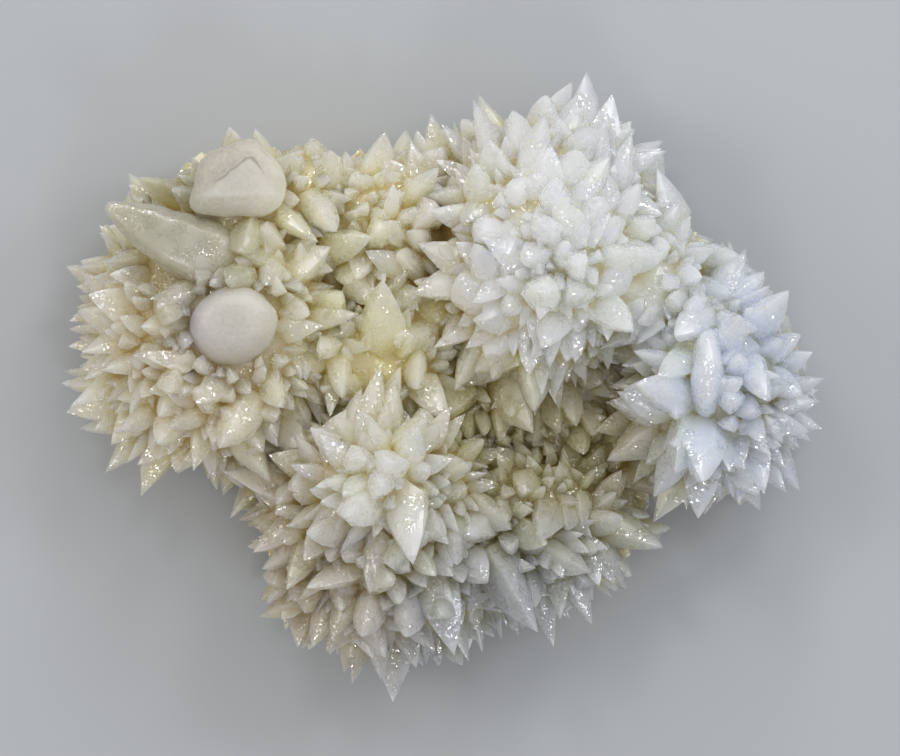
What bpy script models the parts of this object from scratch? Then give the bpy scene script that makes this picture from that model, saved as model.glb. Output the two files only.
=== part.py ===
"""Calcite cluster: dog-tooth crystals grown over a lobed mass that is cut off flat below.

Metres, +Z up.  The origin is the middle of the flat face it rests on.
+X is the long way across the cluster and +Y the short way, seen from above.
"""
import math

import bmesh
import bpy
import numpy as np
from mathutils import Vector

for obj in list(bpy.data.objects):
    bpy.data.objects.remove(obj, do_unlink=True)

# Driving dimensions, in millimetres until a mesh is made.
MM = 0.001
HALF_LENGTH = 126.0      # limits of the crystals that aren't in the tables
HALF_WIDTH = 104.0
SLENDERNESS = 1.9        # length of a crystal above its girdle, over its width
GIRDLE_SHIFT = 0.15      # how far the girdle stands above the root, over the crystal's length
GIRDLE_SWING = 0.10      # how far the girdle zigzags, over the crystal's length
GIRDLE_SKEW = 7.0        # degrees by which the six corners close up in pairs
NARROW_CORNER = 0.88     # radius of every second corner, over the radius of the others
ROOT_DEPTH = 0.72        # how deep a crystal's foot reaches, as a share of its lobe
FOOT_LENGTH = 0.7        # least length of a crystal below its girdle, over its width
RIM_REACH = 0.86         # where a lobe's rim begins, as a share of its radius from above
TOP_REACH = 0.55         # where a lobe's top ends, as a share of its radius from above
TOP_TILT = 76.0          # steepest rise of a crystal on a lobe's top, degrees
RIM_TILT = 14.0          # steepest rise of a crystal well out on a lobe's rim, degrees
TURN_REACH = 0.4         # how far out from the top the steepest rise takes to reach the rim's
END_ON_RUN = 2.5         # a crystal that runs less than this from above points straight up
SURFACE_RISE = 1.5       # height of a girdle above the mass
RIM_RISE = 5.0           # height of a girdle just outside a lobe, above the lobe's centre
RIM_FALL = 24.0          # how much lower it stands for each radius farther out
LOWEST_GIRDLE = 14.0     # of the crystals that stand outside the lobes
TIP_CLEARANCE = 2.5      # lowest tip above the surface it rests on
FACES_AROUND = 6
SMALL_WIDTH = 11.5       # a crystal narrower than this has three faces in place of six
THREE_SIDED_GAIN = 1.25  # how much wider its corners stand
SEED = 17

# The lobes of the mass: centre x, y, z and radii x, y, z above the centre.
LOBES = [
    (-72, 24, 22, 38, 46, 43),     # left
    (-65, 58, 20, 23, 20, 42),     # under the broken crystal
    (-46, 65, 22, 14, 13, 31),     # smooth shoulder on the upper left
    (-22, 50, 20, 33, 25, 31),     # upper middle
    (34, 46, 23, 35, 41, 50),      # upper right
    (68, 33, 21, 23, 21, 37),      # saddle between upper right and right
    (91, 4, 22, 25, 33, 43),       # right
    (-18, -44, 22, 37, 37, 42),    # bottom
    (-22, -31, 32, 21, 19, 45),    # bottom, raised crown
    (25, -46, 19, 34, 23, 29),     # bottom right
    (-25, 12, 19, 33, 28, 29),     # middle
    (5, -2, 12, 76, 46, 20),       # low ground between the lobes
]
BELLY = 30.0             # depth of a lobe's underside below its centre
UNEVENNESS = 0.035       # how far a lobe's corners leave its surface, over its radius

# Crystals: tip x, tip y, girdle x, girdle y, width, as seen from above.
LEFT_CRYSTALS = [
    (-101, 65.7, -92, 61, 6), (-87.3, 70.3, -78, 66, 6), (-89, 65.5, -80, 62, 8),
    (-82.3, 76.2, -79, 68, 6), (-70, 86.2, -68, 74, 11), (-61.5, 85.8, -58, 74, 10),
    (-121, 40, -107, 40, 8), (-116.5, 30.5, -102, 26, 12), (-124.5, 22, -112, 25, 6),
    (-124.5, 19.2, -110, 20, 6), (-124.8, 13.5, -113, 14.5, 6), (-119.3, 11.5, -105, 15, 9),
    (-109.5, 37, -98, 36, 8), (-93.3, 26, -84, 31, 9), (-98.5, 19.7, -86, 20.5, 9),
    (-101.5, 10.5, -88, 10, 9), (-112.5, 5.5, -100, 9, 8), (-118.5, 4.5, -109, 4, 6),
    (-126.4, 5.2, -115, 5, 6), (-127, 1.3, -112, 0, 9), (-125.3, -8.5, -108, -6, 14),
    (-121.5, -14, -108, -13, 6), (-107.5, -4, -97, -2, 9), (-93, -9.8, -88, -3, 9),
    (-106.7, -16.7, -97, -12, 7), (-97, -21.3, -92, -11, 7), (-112.3, -28.8, -101, -16, 10),
    (-100, -36.3, -91, -18, 14), (-90, -13.5, -80, -8, 8), (-80.3, -5.5, -73, 1, 9),
    (-85, -2, -83, 1, 8), (-73, -20.3, -64, -5, 13), (-82, -28, -79, -14, 9),
    (-72.3, -28.7, -73, -19, 6), (-65.3, -27.3, -68, -18, 6), (-64.7, 43.7, -55, 42, 9),
    (-58, 33.3, -55, 41, 8), (-51, 48.5, -42, 40, 9), (-43.5, -14, -52, -8, 9),
    (-52, -7, -57, 2, 9),
]
MIDDLE_CRYSTALS = [
    (-18.5, 85, -23, 71, 14), (-36.3, 78.3, -37, 68, 9), (-10, 82.3, -8, 68, 8),
    (-8.3, 86, -5, 73, 8), (-3.5, 91.5, -1.5, 74, 11), (-20.5, 53.7, -14, 50, 8),
    (-7.5, 51, -7, 48, 9), (-14.5, 44.5, -8, 39, 9), (-25, 45, -15, 40, 9),
    (-22.5, 49.5, -37, 46, 12), (-35, 42, -40, 40, 9), (-19, 35.5, -20, 17, 15),
    (-40, 12.5, -36, 14, 9), (-16, 14.5, -5, 18, 10), (-8, 26.5, 2, 22, 8), (-2.5, 42, 3, 32, 11),
    (-8, 8, 3, 7, 8), (-8, -1, -8, 9, 9), (-32.5, -4, -34, 8, 9), (-36.7, -10, -36, 3, 9),
    (-3.8, -13, 7, -1, 12),
]
CROWN_CRYSTALS = [
    (-15.2, 3, -17, -15, 10), (-27.3, -7, -24, -17, 9), (-34.5, -10, -28, -19, 9),
    (-43, -13, -32, -21, 10), (-4.7, -9.7, -14, -20, 11), (-11.5, -4, -10, -12, 6),
    (-57, -22.3, -43, -27, 12), (-38.5, -31, -29, -32, 8), (-39.3, -37.3, -30, -38, 9),
    (-44.3, -48, -31, -46, 12), (-50.5, -46, -39, -41, 8), (-31, -42, -24, -38, 13),
    (-17, -24, -16, -26, 11), (-29, -22, -26, -25, 11), (-9, -58, -12, -36, 16),
    (-23.4, -68, -21, -52, 9), (-22, -63.5, -19, -50, 8), (-19, -33, -20, -31, 9),
]
BOTTOM_CRYSTALS = [
    (-59.5, -35, -50, -38, 8), (-68.5, -31, -54, -32, 9), (-66, -23.3, -53, -24, 8),
    (-64, -43, -54, -40, 7), (-61.8, -46.8, -52, -43, 7), (-62.3, -54.9, -48, -46, 9),
    (-59.3, -60.3, -47, -53, 8), (-58, -72, -47, -60, 9), (-51, -67, -43, -53, 10),
    (-60.4, -76.4, -42, -69, 12), (-46, -86.7, -37, -73, 9), (-44.3, -66, -30, -61, 11),
    (-33, -74, -33, -66, 8), (-26, -82.3, -22, -69, 11), (-32.4, -95.5, -28, -79, 8),
    (-29.8, -99.4, -25, -80, 10), (-16, -105, -17, -82, 13), (-8.2, -93.3, -13, -78, 11),
    (-11.5, -82.5, -11, -69, 11), (-5, -92.5, -5, -77, 7), (-0.6, -93.2, 0, -76, 8),
    (4.5, -88.5, -1, -64, 14), (9.3, -88.2, 8, -72, 7), (13.8, -88.7, 11, -71, 8),
    (18.5, -81, 13, -69, 7), (20.3, -84.5, 17, -70, 6), (26, -83.5, 22, -69, 6),
    (32, -81, 17, -57, 17), (31.3, -73, 29, -61, 9), (37.5, -86.7, 32, -66, 10),
    (39.5, -77.2, 39, -62, 9), (50.2, -79, 41, -62, 11), (52.5, -66, 48, -55, 8),
    (61.2, -66.7, 53, -52, 7), (49.4, -61, 34, -54, 12), (74, -53.4, 55, -46, 13),
    (69.8, -43.3, 56, -42, 8), (60, -42.6, 49, -45, 9), (63.5, -40.7, 57, -36, 6),
    (32.5, -50.3, 35, -42, 11), (47, -46.5, 46, -38, 8), (23.4, -47, 11, -39, 12),
    (0.5, -36, 5, -35, 9), (9.8, -26, -1, -27, 9), (7.5, -64.5, 3, -57, 8), (27, -36, 28, -32, 9),
    (9, -53, 7, -49, 10), (38, -32, 37, -29, 8),
]
VALLEY_CRYSTALS = [
    (4.7, -15.9, 5, -9, 6), (9.5, -18, 9, -10, 7), (19.5, -18, 20, -7, 8), (30.7, -15.5, 22, 1, 13),
    (23.6, -13, 19, -1, 9), (30.7, -20, 33, -9, 7), (39.3, -15.5, 37, -5, 8),
    (45, -13.3, 42, -1, 10), (51, -16, 50, -8, 9), (47.5, -22.5, 46, -14, 8), (61, -13, 57, -6, 6),
    (60, -17, 67, -10, 6), (59, -18.5, 58, -11, 8), (43, -27, 43, -23, 9), (53, -26, 52, -22, 9),
    (58, -29, 57, -25, 9), (57, -1.7, 58, 6, 9), (65, -3.8, 61, 4, 7),
]
UPPER_RIGHT_CRYSTALS = [
    (3.5, 82.8, 8, 74, 6), (8.3, 85.8, 12, 76, 6), (7, 83, 12, 73, 8), (12, 89.7, 16, 77, 9),
    (15.7, 82, 18, 70, 10), (11, 73.3, 14, 63, 11), (23.5, 91.3, 27, 77, 12),
    (34, 88.8, 30, 71, 13), (37.2, 91.3, 41, 81, 8), (48.4, 105, 46.5, 83, 13),
    (57, 97.4, 53, 79, 12), (65, 85.9, 56, 79, 9), (73.7, 79.7, 61, 74, 10), (72.2, 57, 66, 70, 10),
    (1.5, 56, 7, 65, 12), (7, 53.5, 12, 60, 8), (9.5, 45.5, 7, 54, 8), (14, 51, 16, 51, 10),
    (11.5, 46, 16, 38, 11), (6, 37, 13, 30, 13), (21.5, 42.3, 22, 51, 8), (28, 43, 31, 43, 11),
    (33, 53, 34, 52, 11), (33, 31, 34, 30, 13), (10.3, 22, 21, 22, 8), (33.3, 12.4, 38, 23, 10),
    (11, 5, 22, 12, 13), (6.5, 4, 13, 5, 8), (9.5, 10.7, 1, 19, 9), (24.7, 2.3, 25, 9, 7),
    (49.5, 5, 34, 6, 10), (63.8, 47, 55, 33, 12), (67, 29.5, 60, 20, 10), (79.3, 61.3, 72, 50, 9),
    (90.5, 45.8, 81, 42, 8), (74.5, 48, 70, 43, 8), (47.5, 51, 57, 53, 9), (53.5, 62.5, 49, 54, 9),
    (60.5, 57, 62, 66, 9), (45.5, 77.5, 42, 69, 10), (55, 70, 54, 64, 11), (44, 19, 46, 23, 9),
    (62.7, 15.5, 50, 11, 10), (25, 66, 25, 63, 10), (36, 64, 37, 62, 10), (46, 40, 44, 40, 10),
    (43, 30, 45, 31, 10), (22, 26, 24, 28, 9),
]
RIGHT_CRYSTALS = [
    (55.2, -5, 69, -7, 11), (63.8, 1.2, 79, -3, 14), (72.2, 5.5, 67, 17, 10),
    (71, 3.4, 80, 9, 10), (74.5, 15, 77, 17, 9), (55, -24.4, 72, -13, 13),
    (67.5, -25.6, 77, -17, 8), (100.4, 44, 93, 31, 12), (91.3, 43.7, 89, 35, 6),
    (95, 43.4, 92, 35, 6), (106.8, 38.3, 98, 28, 9), (108.5, 33.6, 99, 25, 8),
    (114.4, 31.9, 103, 19, 13), (104.2, 18.8, 93, 22, 10), (92, 8, 101, 13, 9),
    (103.7, 5, 111, 6, 9), (112.5, 15.5, 105, 12, 7), (118.6, 17.4, 109, 10, 9),
    (123, 11.6, 111, 7, 9), (127, 2.8, 112, 0, 9), (125.4, -1, 113, -3, 7),
    (126, -4.7, 113, -6, 8), (126.5, -13.9, 112, -8, 9), (122.7, -17.9, 111, -10, 8),
    (119, -20.2, 110, -12, 8), (119.5, -34.6, 109, -18, 12), (115, -35.2, 106, -21, 9),
    (107, -35.5, 103, -20, 11), (101, -27.6, 97, -21, 6), (104.5, -34.8, 97, -23, 8),
    (97, -37, 95, -25, 8), (92.8, -37, 91, -26, 6), (85.3, -43.7, 87, -26, 12),
    (82, -41.2, 81, -27, 6), (71.3, -38.5, 74, -20, 10), (73.4, -33, 78, -22, 7),
    (85.7, -31.5, 86, -14, 16), (76.7, -28.4, 82, -13, 13), (95, -28, 94, -17, 7),
    (106.5, -19, 102, -11, 8), (99, 1.5, 91, 0, 9), (83.5, 16, 86, 3, 12),
    (90, -15.5, 89, -4, 12), (76, 30, 79, 27, 9), (87, 33, 84, 28, 8),
    (98, 10, 97, 5, 8), (103, -8, 100, -6, 9),
]

# The great spear of the left lobe: tip, shoulder and root, with its width at the shoulder.
SPEAR_TIP = (-111.5, 60.3, 72.0)
SPEAR_SHOULDER = (-84.0, 48.0, 64.0)
SPEAR_ROOT = (-58.0, 36.0, 50.0)
SPEAR_WIDTH = 25.0
SPEAR_BLUNT = (1.5, 0.16)       # depth of its blunt end, and that end's share of the width
SPEAR_TAPER = (0.4, 0.60)       # a place between tip and shoulder, and the share of the width there
SPEAR_ROOT_SHARE = 1.15

# The broken thick crystal that points straight up: its outline and middle from above, then
# heights with the share of the outline there, from the foot over a ledge to the raised end.
STUMP_OUTLINE = [(-82, 61), (-79, 75), (-71, 79), (-60, 80), (-54, 76), (-52, 62), (-60, 57), (-74, 57)]
STUMP_CENTRE = (-66.5, 68.5)
STUMP_LEVELS = [(40.0, 0.55), (54.0, 0.98), (68.0, 1.0), (69.0, 0.74), (72.0, 0.66)]

# The smooth white knob on the left lobe: centre and radii.
KNOB_CENTRE = (-68.5, 21.5, 65.0)
KNOB_RADII = (14.2, 12.3, 13.0)

# Crystals on the flanks of the lobes, in rows at these heights.
FLANK_HEIGHTS = [26.0, 11.0]
FLANK_SPACING = 12.0
FLANK_LENGTHS = [14.0, 11.0, 8.0]
FLANK_WIDTH = 0.72       # width over length
FLANK_LIFT = 0.25        # how much they turn up from straight out
FLANK_SHIFT = 0.2        # how far each is shifted along its row, over the spacing
FLANK_WAVER = 2.0        # how far each is shifted up or down
FREE_DEPTH = 2.0         # how far out from its start a crystal has to be free of other lobes
COVER = 4.0              # how near to a crystal of the rim, seen from above, a tip has to be

# The block that cuts the mass off flat: half its length and its depth.
CUT_REACH = 200.0
CUT_DEPTH = 100.0


def lobe_norm(lobe, point):
    """Distance of a point from a lobe's centre: 1 on its surface, less inside."""
    cx, cy, cz, rx, ry, rz = lobe
    depth = rz if point[2] > cz else BELLY
    return math.sqrt(((point[0] - cx) / rx) ** 2 + ((point[1] - cy) / ry) ** 2
                     + ((point[2] - cz) / depth) ** 2)


def plan_norm(lobe, x, y):
    """The same distance, measured in the view from above."""
    return math.hypot((x - lobe[0]) / lobe[3], (y - lobe[1]) / lobe[4])


def ground(x, y):
    """Height of the mass at a place, and how near that place is to the rim."""
    inside = []
    for lobe in LOBES:
        reach = plan_norm(lobe, x, y)
        if reach < 1.0:
            inside.append((lobe[2] + lobe[5] * math.sqrt(1.0 - reach * reach), reach))
    if inside:
        return max(inside)
    nearest = min(LOBES[:-1], key=lambda lobe: plan_norm(lobe, x, y))
    reach = plan_norm(nearest, x, y)
    return max(nearest[2] + RIM_RISE - RIM_FALL * (reach - 1.0), LOWEST_GIRDLE), reach


def buried_foot(girdle, axis, width):
    """The lower end of a crystal: inside the nearest lobe, and always behind the girdle."""
    point = girdle - axis * (FOOT_LENGTH * width)
    lobe = min(LOBES, key=lambda one: lobe_norm(one, point))
    centre = Vector(lobe[:3])
    foot = centre + (point - centre) * (ROOT_DEPTH / max(lobe_norm(lobe, point), ROOT_DEPTH))
    behind = (girdle - foot).dot(axis)
    return foot - axis * max(FOOT_LENGTH * width - behind, 0.0)


def placed_crystal(tip_x, tip_y, girdle_x, girdle_y, width):
    """Tip, girdle, width and whether it is on a rim, from a crystal's places seen from above."""
    height, reach = ground(girdle_x, girdle_y)
    run = math.hypot(tip_x - girdle_x, tip_y - girdle_y)
    length = max(run, SLENDERNESS * width)
    rim = min(max((reach - TOP_REACH) / TURN_REACH, 0.0), 1.0)
    steepest = math.radians(TOP_TILT + (RIM_TILT - TOP_TILT) * rim)
    tilt = min(math.acos(min(run / length, 1.0)), steepest)
    girdle = Vector((girdle_x, girdle_y, height + SURFACE_RISE))
    if run < END_ON_RUN:
        rise = SLENDERNESS * width
    else:
        rise = run * math.tan(tilt)
    tip = Vector((tip_x, tip_y, girdle.z + rise))
    return tip, girdle, width, reach > RIM_REACH


def crystal_mesh(name, tip, girdle, width, roll):
    """A scalenohedron, faces up to the tip and down to the buried foot, or a three-sided one."""
    girdle = girdle.lerp(tip, GIRDLE_SHIFT)
    axis = (tip - girdle).normalized()
    side = axis.orthogonal().normalized()
    front = axis.cross(side)
    length = (tip - girdle).length
    bm = bmesh.new()
    ring = []
    count = FACES_AROUND if width >= SMALL_WIDTH else 3
    gain = 1.0 if width >= SMALL_WIDTH else THREE_SIDED_GAIN
    for k in range(count):
        sign = 0 if count == 3 else 1 - 2 * (k % 2)
        angle = roll + math.radians(360 / count * k + GIRDLE_SKEW * sign)
        radius = width / 2 * gain * (NARROW_CORNER if sign < 0 else 1.0)
        place = girdle + axis * (GIRDLE_SWING * length * sign)
        place = place + side * (radius * math.cos(angle)) + front * (radius * math.sin(angle))
        ring.append(bm.verts.new(place * MM))
    top = bm.verts.new(tip * MM)
    bottom = bm.verts.new(buried_foot(girdle, axis, width) * MM)
    for k in range(count):
        after = (k + 1) % count
        bm.faces.new((ring[k], ring[after], top))
        bm.faces.new((ring[after], ring[k], bottom))
    return mesh_object(name, bm)


def mesh_object(name, bm):
    """Finish a bmesh as an object with its faces pointing out."""
    bmesh.ops.recalc_face_normals(bm, faces=bm.faces)
    mesh = bpy.data.meshes.new(name)
    bm.to_mesh(mesh)
    bm.free()
    return bpy.data.objects.new(name, mesh)


def ellipsoid(name, centre, radii, rng):
    """An uneven faceted ball of three radii, no deeper below its centre than a lobe's belly."""
    bm = bmesh.new()
    bmesh.ops.create_icosphere(bm, subdivisions=2, radius=1.0)
    for vert in bm.verts:
        depth = radii[2] if vert.co.z > 0 else min(radii[2], BELLY)
        place = vert.co * rng.uniform(1.0 - UNEVENNESS, 1.0 + UNEVENNESS)
        vert.co = Vector((centre[0] + radii[0] * place.x, centre[1] + radii[1] * place.y,
                          centre[2] + depth * place.z)) * MM
    return mesh_object(name, bm)


def spear():
    """The great spear, with a shoulder where its taper steepens."""
    tip, shoulder, root = Vector(SPEAR_TIP), Vector(SPEAR_SHOULDER), Vector(SPEAR_ROOT)
    axis = (tip - root).normalized()
    side = Vector((0, 0, 1)).cross(axis).normalized()
    up = axis.cross(side)
    rows = [(tip - axis * SPEAR_BLUNT[0], SPEAR_BLUNT[1]),
            (tip.lerp(shoulder, SPEAR_TAPER[0]), SPEAR_TAPER[1]),
            (shoulder, 1.0),
            (root, SPEAR_ROOT_SHARE)]
    bm = bmesh.new()
    rings = []
    for centre, share in rows:
        ring = []
        for k in range(FACES_AROUND):
            angle = math.radians(60 * k + 30)
            radius = SPEAR_WIDTH / 2 * share * (1.0 if k % 2 == 0 else NARROW_CORNER)
            ring.append(bm.verts.new((centre + side * (radius * math.cos(angle))
                                      + up * (radius * math.sin(angle))) * MM))
        rings.append(ring)
    for upper, lower in zip(rings, rings[1:]):
        for k in range(FACES_AROUND):
            after = (k + 1) % FACES_AROUND
            bm.faces.new((upper[k], upper[after], lower[after], lower[k]))
    bm.faces.new(rings[0])
    bm.faces.new(rings[-1])
    return mesh_object("spear", bm)


def stump():
    """The broken thick crystal: a ledge round a slightly raised end."""
    cx, cy = STUMP_CENTRE
    bm = bmesh.new()
    rings = []
    for z, share in STUMP_LEVELS:
        rings.append([bm.verts.new(Vector((cx + (x - cx) * share, cy + (y - cy) * share, z)) * MM)
                      for x, y in STUMP_OUTLINE])
    count = len(STUMP_OUTLINE)
    for lower, upper in zip(rings, rings[1:]):
        for k in range(count):
            after = (k + 1) % count
            bm.faces.new((lower[k], lower[after], upper[after], upper[k]))
    bm.faces.new(rings[0])
    bm.faces.new(rings[-1])
    return mesh_object("stump", bm)


def plan_distance(point, crystal):
    """Distance from a point to the line of a crystal, seen from above."""
    tip, girdle = crystal[0].to_2d(), crystal[1].to_2d()
    line = tip - girdle
    share = min(max((point.to_2d() - girdle).dot(line) / line.length_squared, 0.0), 1.0)
    return (point.to_2d() - girdle - line * share).length


def flank_places(lobe, height, turn, rng):
    """Starts and directions of the crystals in one row round a lobe."""
    cx, cy, cz, rx, ry, rz = lobe
    count = round(math.pi * (rx + ry) / FLANK_SPACING)
    places = []
    for k in range(count):
        angle = (k + turn + rng.uniform(-FLANK_SHIFT, FLANK_SHIFT)) * 2 * math.pi / count
        z = height + rng.uniform(-FLANK_WAVER, FLANK_WAVER)
        drop = (z - cz) / (rz if z > cz else BELLY)
        share = math.sqrt(1.0 - drop * drop)
        across, along = math.cos(angle), math.sin(angle)
        out = Vector((across / rx, along / ry, 0.0)).normalized()
        out.z = drop + FLANK_LIFT
        places.append((Vector((cx + rx * share * across, cy + ry * share * along, z)),
                       out.normalized()))
    return places


def flank_crystals(rim, rng):
    """Rows of crystals round the lobes below their rims, hidden by the rims from above."""
    found = []
    for lobe in LOBES[:-1]:
        others = [other for other in LOBES if other is not lobe]
        for row, height in enumerate(FLANK_HEIGHTS):
            for start, out in flank_places(lobe, height, row / 2, rng):
                place = start + out * FREE_DEPTH
                if min(lobe_norm(other, place) for other in others) < 1.0:
                    continue
                for length in FLANK_LENGTHS:
                    tip = start + out * length
                    inside = min(plan_norm(other, tip.x, tip.y) for other in LOBES) < 1.0
                    hidden = inside or min(plan_distance(tip, one) for one in rim) < COVER
                    kept = abs(tip.x) < HALF_LENGTH and abs(tip.y) < HALF_WIDTH
                    if hidden and kept and tip.z > TIP_CLEARANCE:
                        found.append((tip, start, length * FLANK_WIDTH))
                        break
    return found


def joined(first, others, name, operation):
    """One mesh from a Boolean of the first object with all of the others.

    The exact solver leaves edges with four faces where many crystals meet, so this is the other one.
    """
    helpers = bpy.data.collections.new(name)
    bpy.context.scene.collection.children.link(helpers)
    bpy.context.scene.collection.objects.link(first)
    for other in others:
        helpers.objects.link(other)
    boolean = first.modifiers.new(name, "BOOLEAN")
    boolean.operation = operation
    boolean.operand_type = "COLLECTION"
    boolean.collection = helpers
    boolean.solver = "MANIFOLD"
    graph = bpy.context.evaluated_depsgraph_get()
    mesh = bpy.data.meshes.new_from_object(first.evaluated_get(graph))
    for other in others + [first]:
        bpy.data.objects.remove(other, do_unlink=True)
    bpy.data.collections.remove(helpers)
    return bpy.data.objects.new(name, mesh)


def outer_shell(mesh):
    """Keep the largest connected surface, without the pockets closed in between crystals."""
    bm = bmesh.new()
    bm.from_mesh(mesh)
    shells = []
    left = set(bm.verts)
    while left:
        shell = set()
        edge_of_shell = [next(iter(left))]
        while edge_of_shell:
            vert = edge_of_shell.pop()
            if vert not in shell:
                shell.add(vert)
                edge_of_shell += [edge.other_vert(vert) for edge in vert.link_edges]
        left -= shell
        shells.append(shell)
    shells.sort(key=len)
    for shell in shells[:-1]:
        bmesh.ops.delete(bm, geom=list(shell), context="VERTS")
    bm.to_mesh(mesh)
    bm.free()


def calcite_material():
    """Milky calcite: off-white, with a wet lustre."""
    material = bpy.data.materials.new("calcite")
    material.use_nodes = True
    shader = material.node_tree.nodes["Principled BSDF"]
    shader.inputs["Base Color"].default_value = (0.78, 0.77, 0.68, 1.0)
    shader.inputs["Roughness"].default_value = 0.3
    shader.inputs["Metallic"].default_value = 0.0
    return material


def build():
    rng = np.random.default_rng(SEED)
    table = (LEFT_CRYSTALS + MIDDLE_CRYSTALS + CROWN_CRYSTALS + BOTTOM_CRYSTALS + VALLEY_CRYSTALS
             + UPPER_RIGHT_CRYSTALS + RIGHT_CRYSTALS)
    placed = [placed_crystal(*row) for row in table]
    crystals = [(tip, girdle, width) for tip, girdle, width, on_rim in placed]
    crystals += flank_crystals([one for one in placed if one[3]], rng)
    parts = [crystal_mesh("crystal", *crystal, rng.uniform(0.0, math.pi)) for crystal in crystals]
    parts += [ellipsoid("lobe", lobe[:3], lobe[3:], rng) for lobe in LOBES[1:]]
    parts += [spear(), stump(), ellipsoid("knob", KNOB_CENTRE, KNOB_RADII, rng)]
    mass = ellipsoid("mass", LOBES[0][:3], LOBES[0][3:], rng)
    whole = joined(mass, parts, "cluster", "UNION")

    bm = bmesh.new()
    bmesh.ops.create_cube(bm, size=1.0)
    for vert in bm.verts:
        vert.co = Vector((vert.co.x * 2 * CUT_REACH, vert.co.y * 2 * CUT_REACH,
                          (vert.co.z - 0.5) * CUT_DEPTH)) * MM
    cluster = joined(whole, [mesh_object("below", bm)], "calcite_cluster", "DIFFERENCE")
    outer_shell(cluster.data)
    cluster.data.materials.clear()
    cluster.data.materials.append(calcite_material())
    bpy.context.scene.collection.objects.link(cluster)


build()
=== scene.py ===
# %% [markdown]
# # A milky calcite cluster
#
# Calcite often grows as dog-tooth crystals: six long faces that close up to a point, crowded over the
# round lobes of an older crust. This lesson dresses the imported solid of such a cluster. The solid keeps
# the place and the main shapes, and the crystals here are finer, with bulging faces and blunt points.
# Lengths are in millimetres until a mesh is made, with +Z up from the flat face it rests on.

import math

import bpy
import numpy as np
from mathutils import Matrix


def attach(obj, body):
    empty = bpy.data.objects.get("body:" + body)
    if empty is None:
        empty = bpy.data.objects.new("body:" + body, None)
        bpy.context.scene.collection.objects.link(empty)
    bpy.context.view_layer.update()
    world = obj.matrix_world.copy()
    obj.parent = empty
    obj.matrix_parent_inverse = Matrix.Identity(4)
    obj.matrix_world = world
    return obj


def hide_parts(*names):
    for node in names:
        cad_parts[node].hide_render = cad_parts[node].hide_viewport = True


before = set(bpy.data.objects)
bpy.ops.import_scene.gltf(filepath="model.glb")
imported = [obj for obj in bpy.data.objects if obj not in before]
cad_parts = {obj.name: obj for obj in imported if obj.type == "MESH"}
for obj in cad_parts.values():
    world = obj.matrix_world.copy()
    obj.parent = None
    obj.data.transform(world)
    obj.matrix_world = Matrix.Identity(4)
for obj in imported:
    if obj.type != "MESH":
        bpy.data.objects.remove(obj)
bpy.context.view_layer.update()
MM = 0.001

# %% [markdown]
# ## The lobes
#
# The mass under the crystals is a dozen rounded lobes, as it would grow round as many starting points.
# Each is an ellipsoid with a shallower underside, and the cluster is cut off flat where it grew on
# the rock. The same twelve are in the solid, so a crystal that stands on them stands right here too.

# %% Lobes: centre x, y, z and radii x, y, z above the centre
LOBES = np.array([
    (-72, 24, 22, 38, 46, 43),  # left
    (-65, 58, 20, 23, 20, 42),  # under the broken crystal
    (-46, 65, 22, 14, 13, 31),  # smooth shoulder on the upper left
    (-22, 50, 20, 33, 25, 31),  # upper middle
    (34, 46, 23, 35, 41, 50),  # upper right
    (68, 33, 21, 23, 21, 37),  # saddle between upper right and right
    (91, 4, 22, 25, 33, 43),  # right
    (-18, -44, 22, 37, 37, 42),  # bottom
    (-22, -31, 32, 21, 19, 45),  # bottom, raised crown
    (25, -46, 19, 34, 23, 29),  # bottom right
    (-25, 12, 19, 33, 28, 29),  # middle
    (5, -2, 12, 76, 46, 20),  # low ground between the lobes
], float)
CENTRES = LOBES[:, :3]
RADII = LOBES[:, 3:]
BELLY = 30.0  # depth of a lobe's underside below its centre
print("lobes:", len(LOBES))


# %% How far a point is from the lobes
def lobe_norms(points):
    """Distance of each point from each lobe's centre, 1 on its surface: array (points, lobes).

    norm = sqrt((dx / rx)^2 + (dy / ry)^2 + (dz / depth)^2), where depth is rz above the centre and
    the belly's depth below it.
    """
    away = points[:, None, :] - CENTRES
    radii = np.broadcast_to(RADII, away.shape).copy()
    radii[..., 2] = np.where(away[..., 2] > 0, radii[..., 2], BELLY)
    return np.linalg.norm(away / radii, axis=-1)


def plan_norms(points):
    """The same distance seen from above, without height."""
    return np.linalg.norm((points[:, None, :2] - CENTRES[:, :2]) / RADII[:, :2], axis=-1)


def unit(vectors):
    """Each vector over its own length."""
    return vectors / np.linalg.norm(vectors, axis=-1, keepdims=True)


# %% [markdown]
# ## Where the crystals stand
#
# Most crystals that can be told apart from above are listed one by one, as a jeweller would map a
# setting: the point, the widest place (the girdle) and the width there. Their height isn't listed. It
# follows from the lobe under the girdle, and a crystal stands steeper the nearer it is to the lobe's top.

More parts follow.
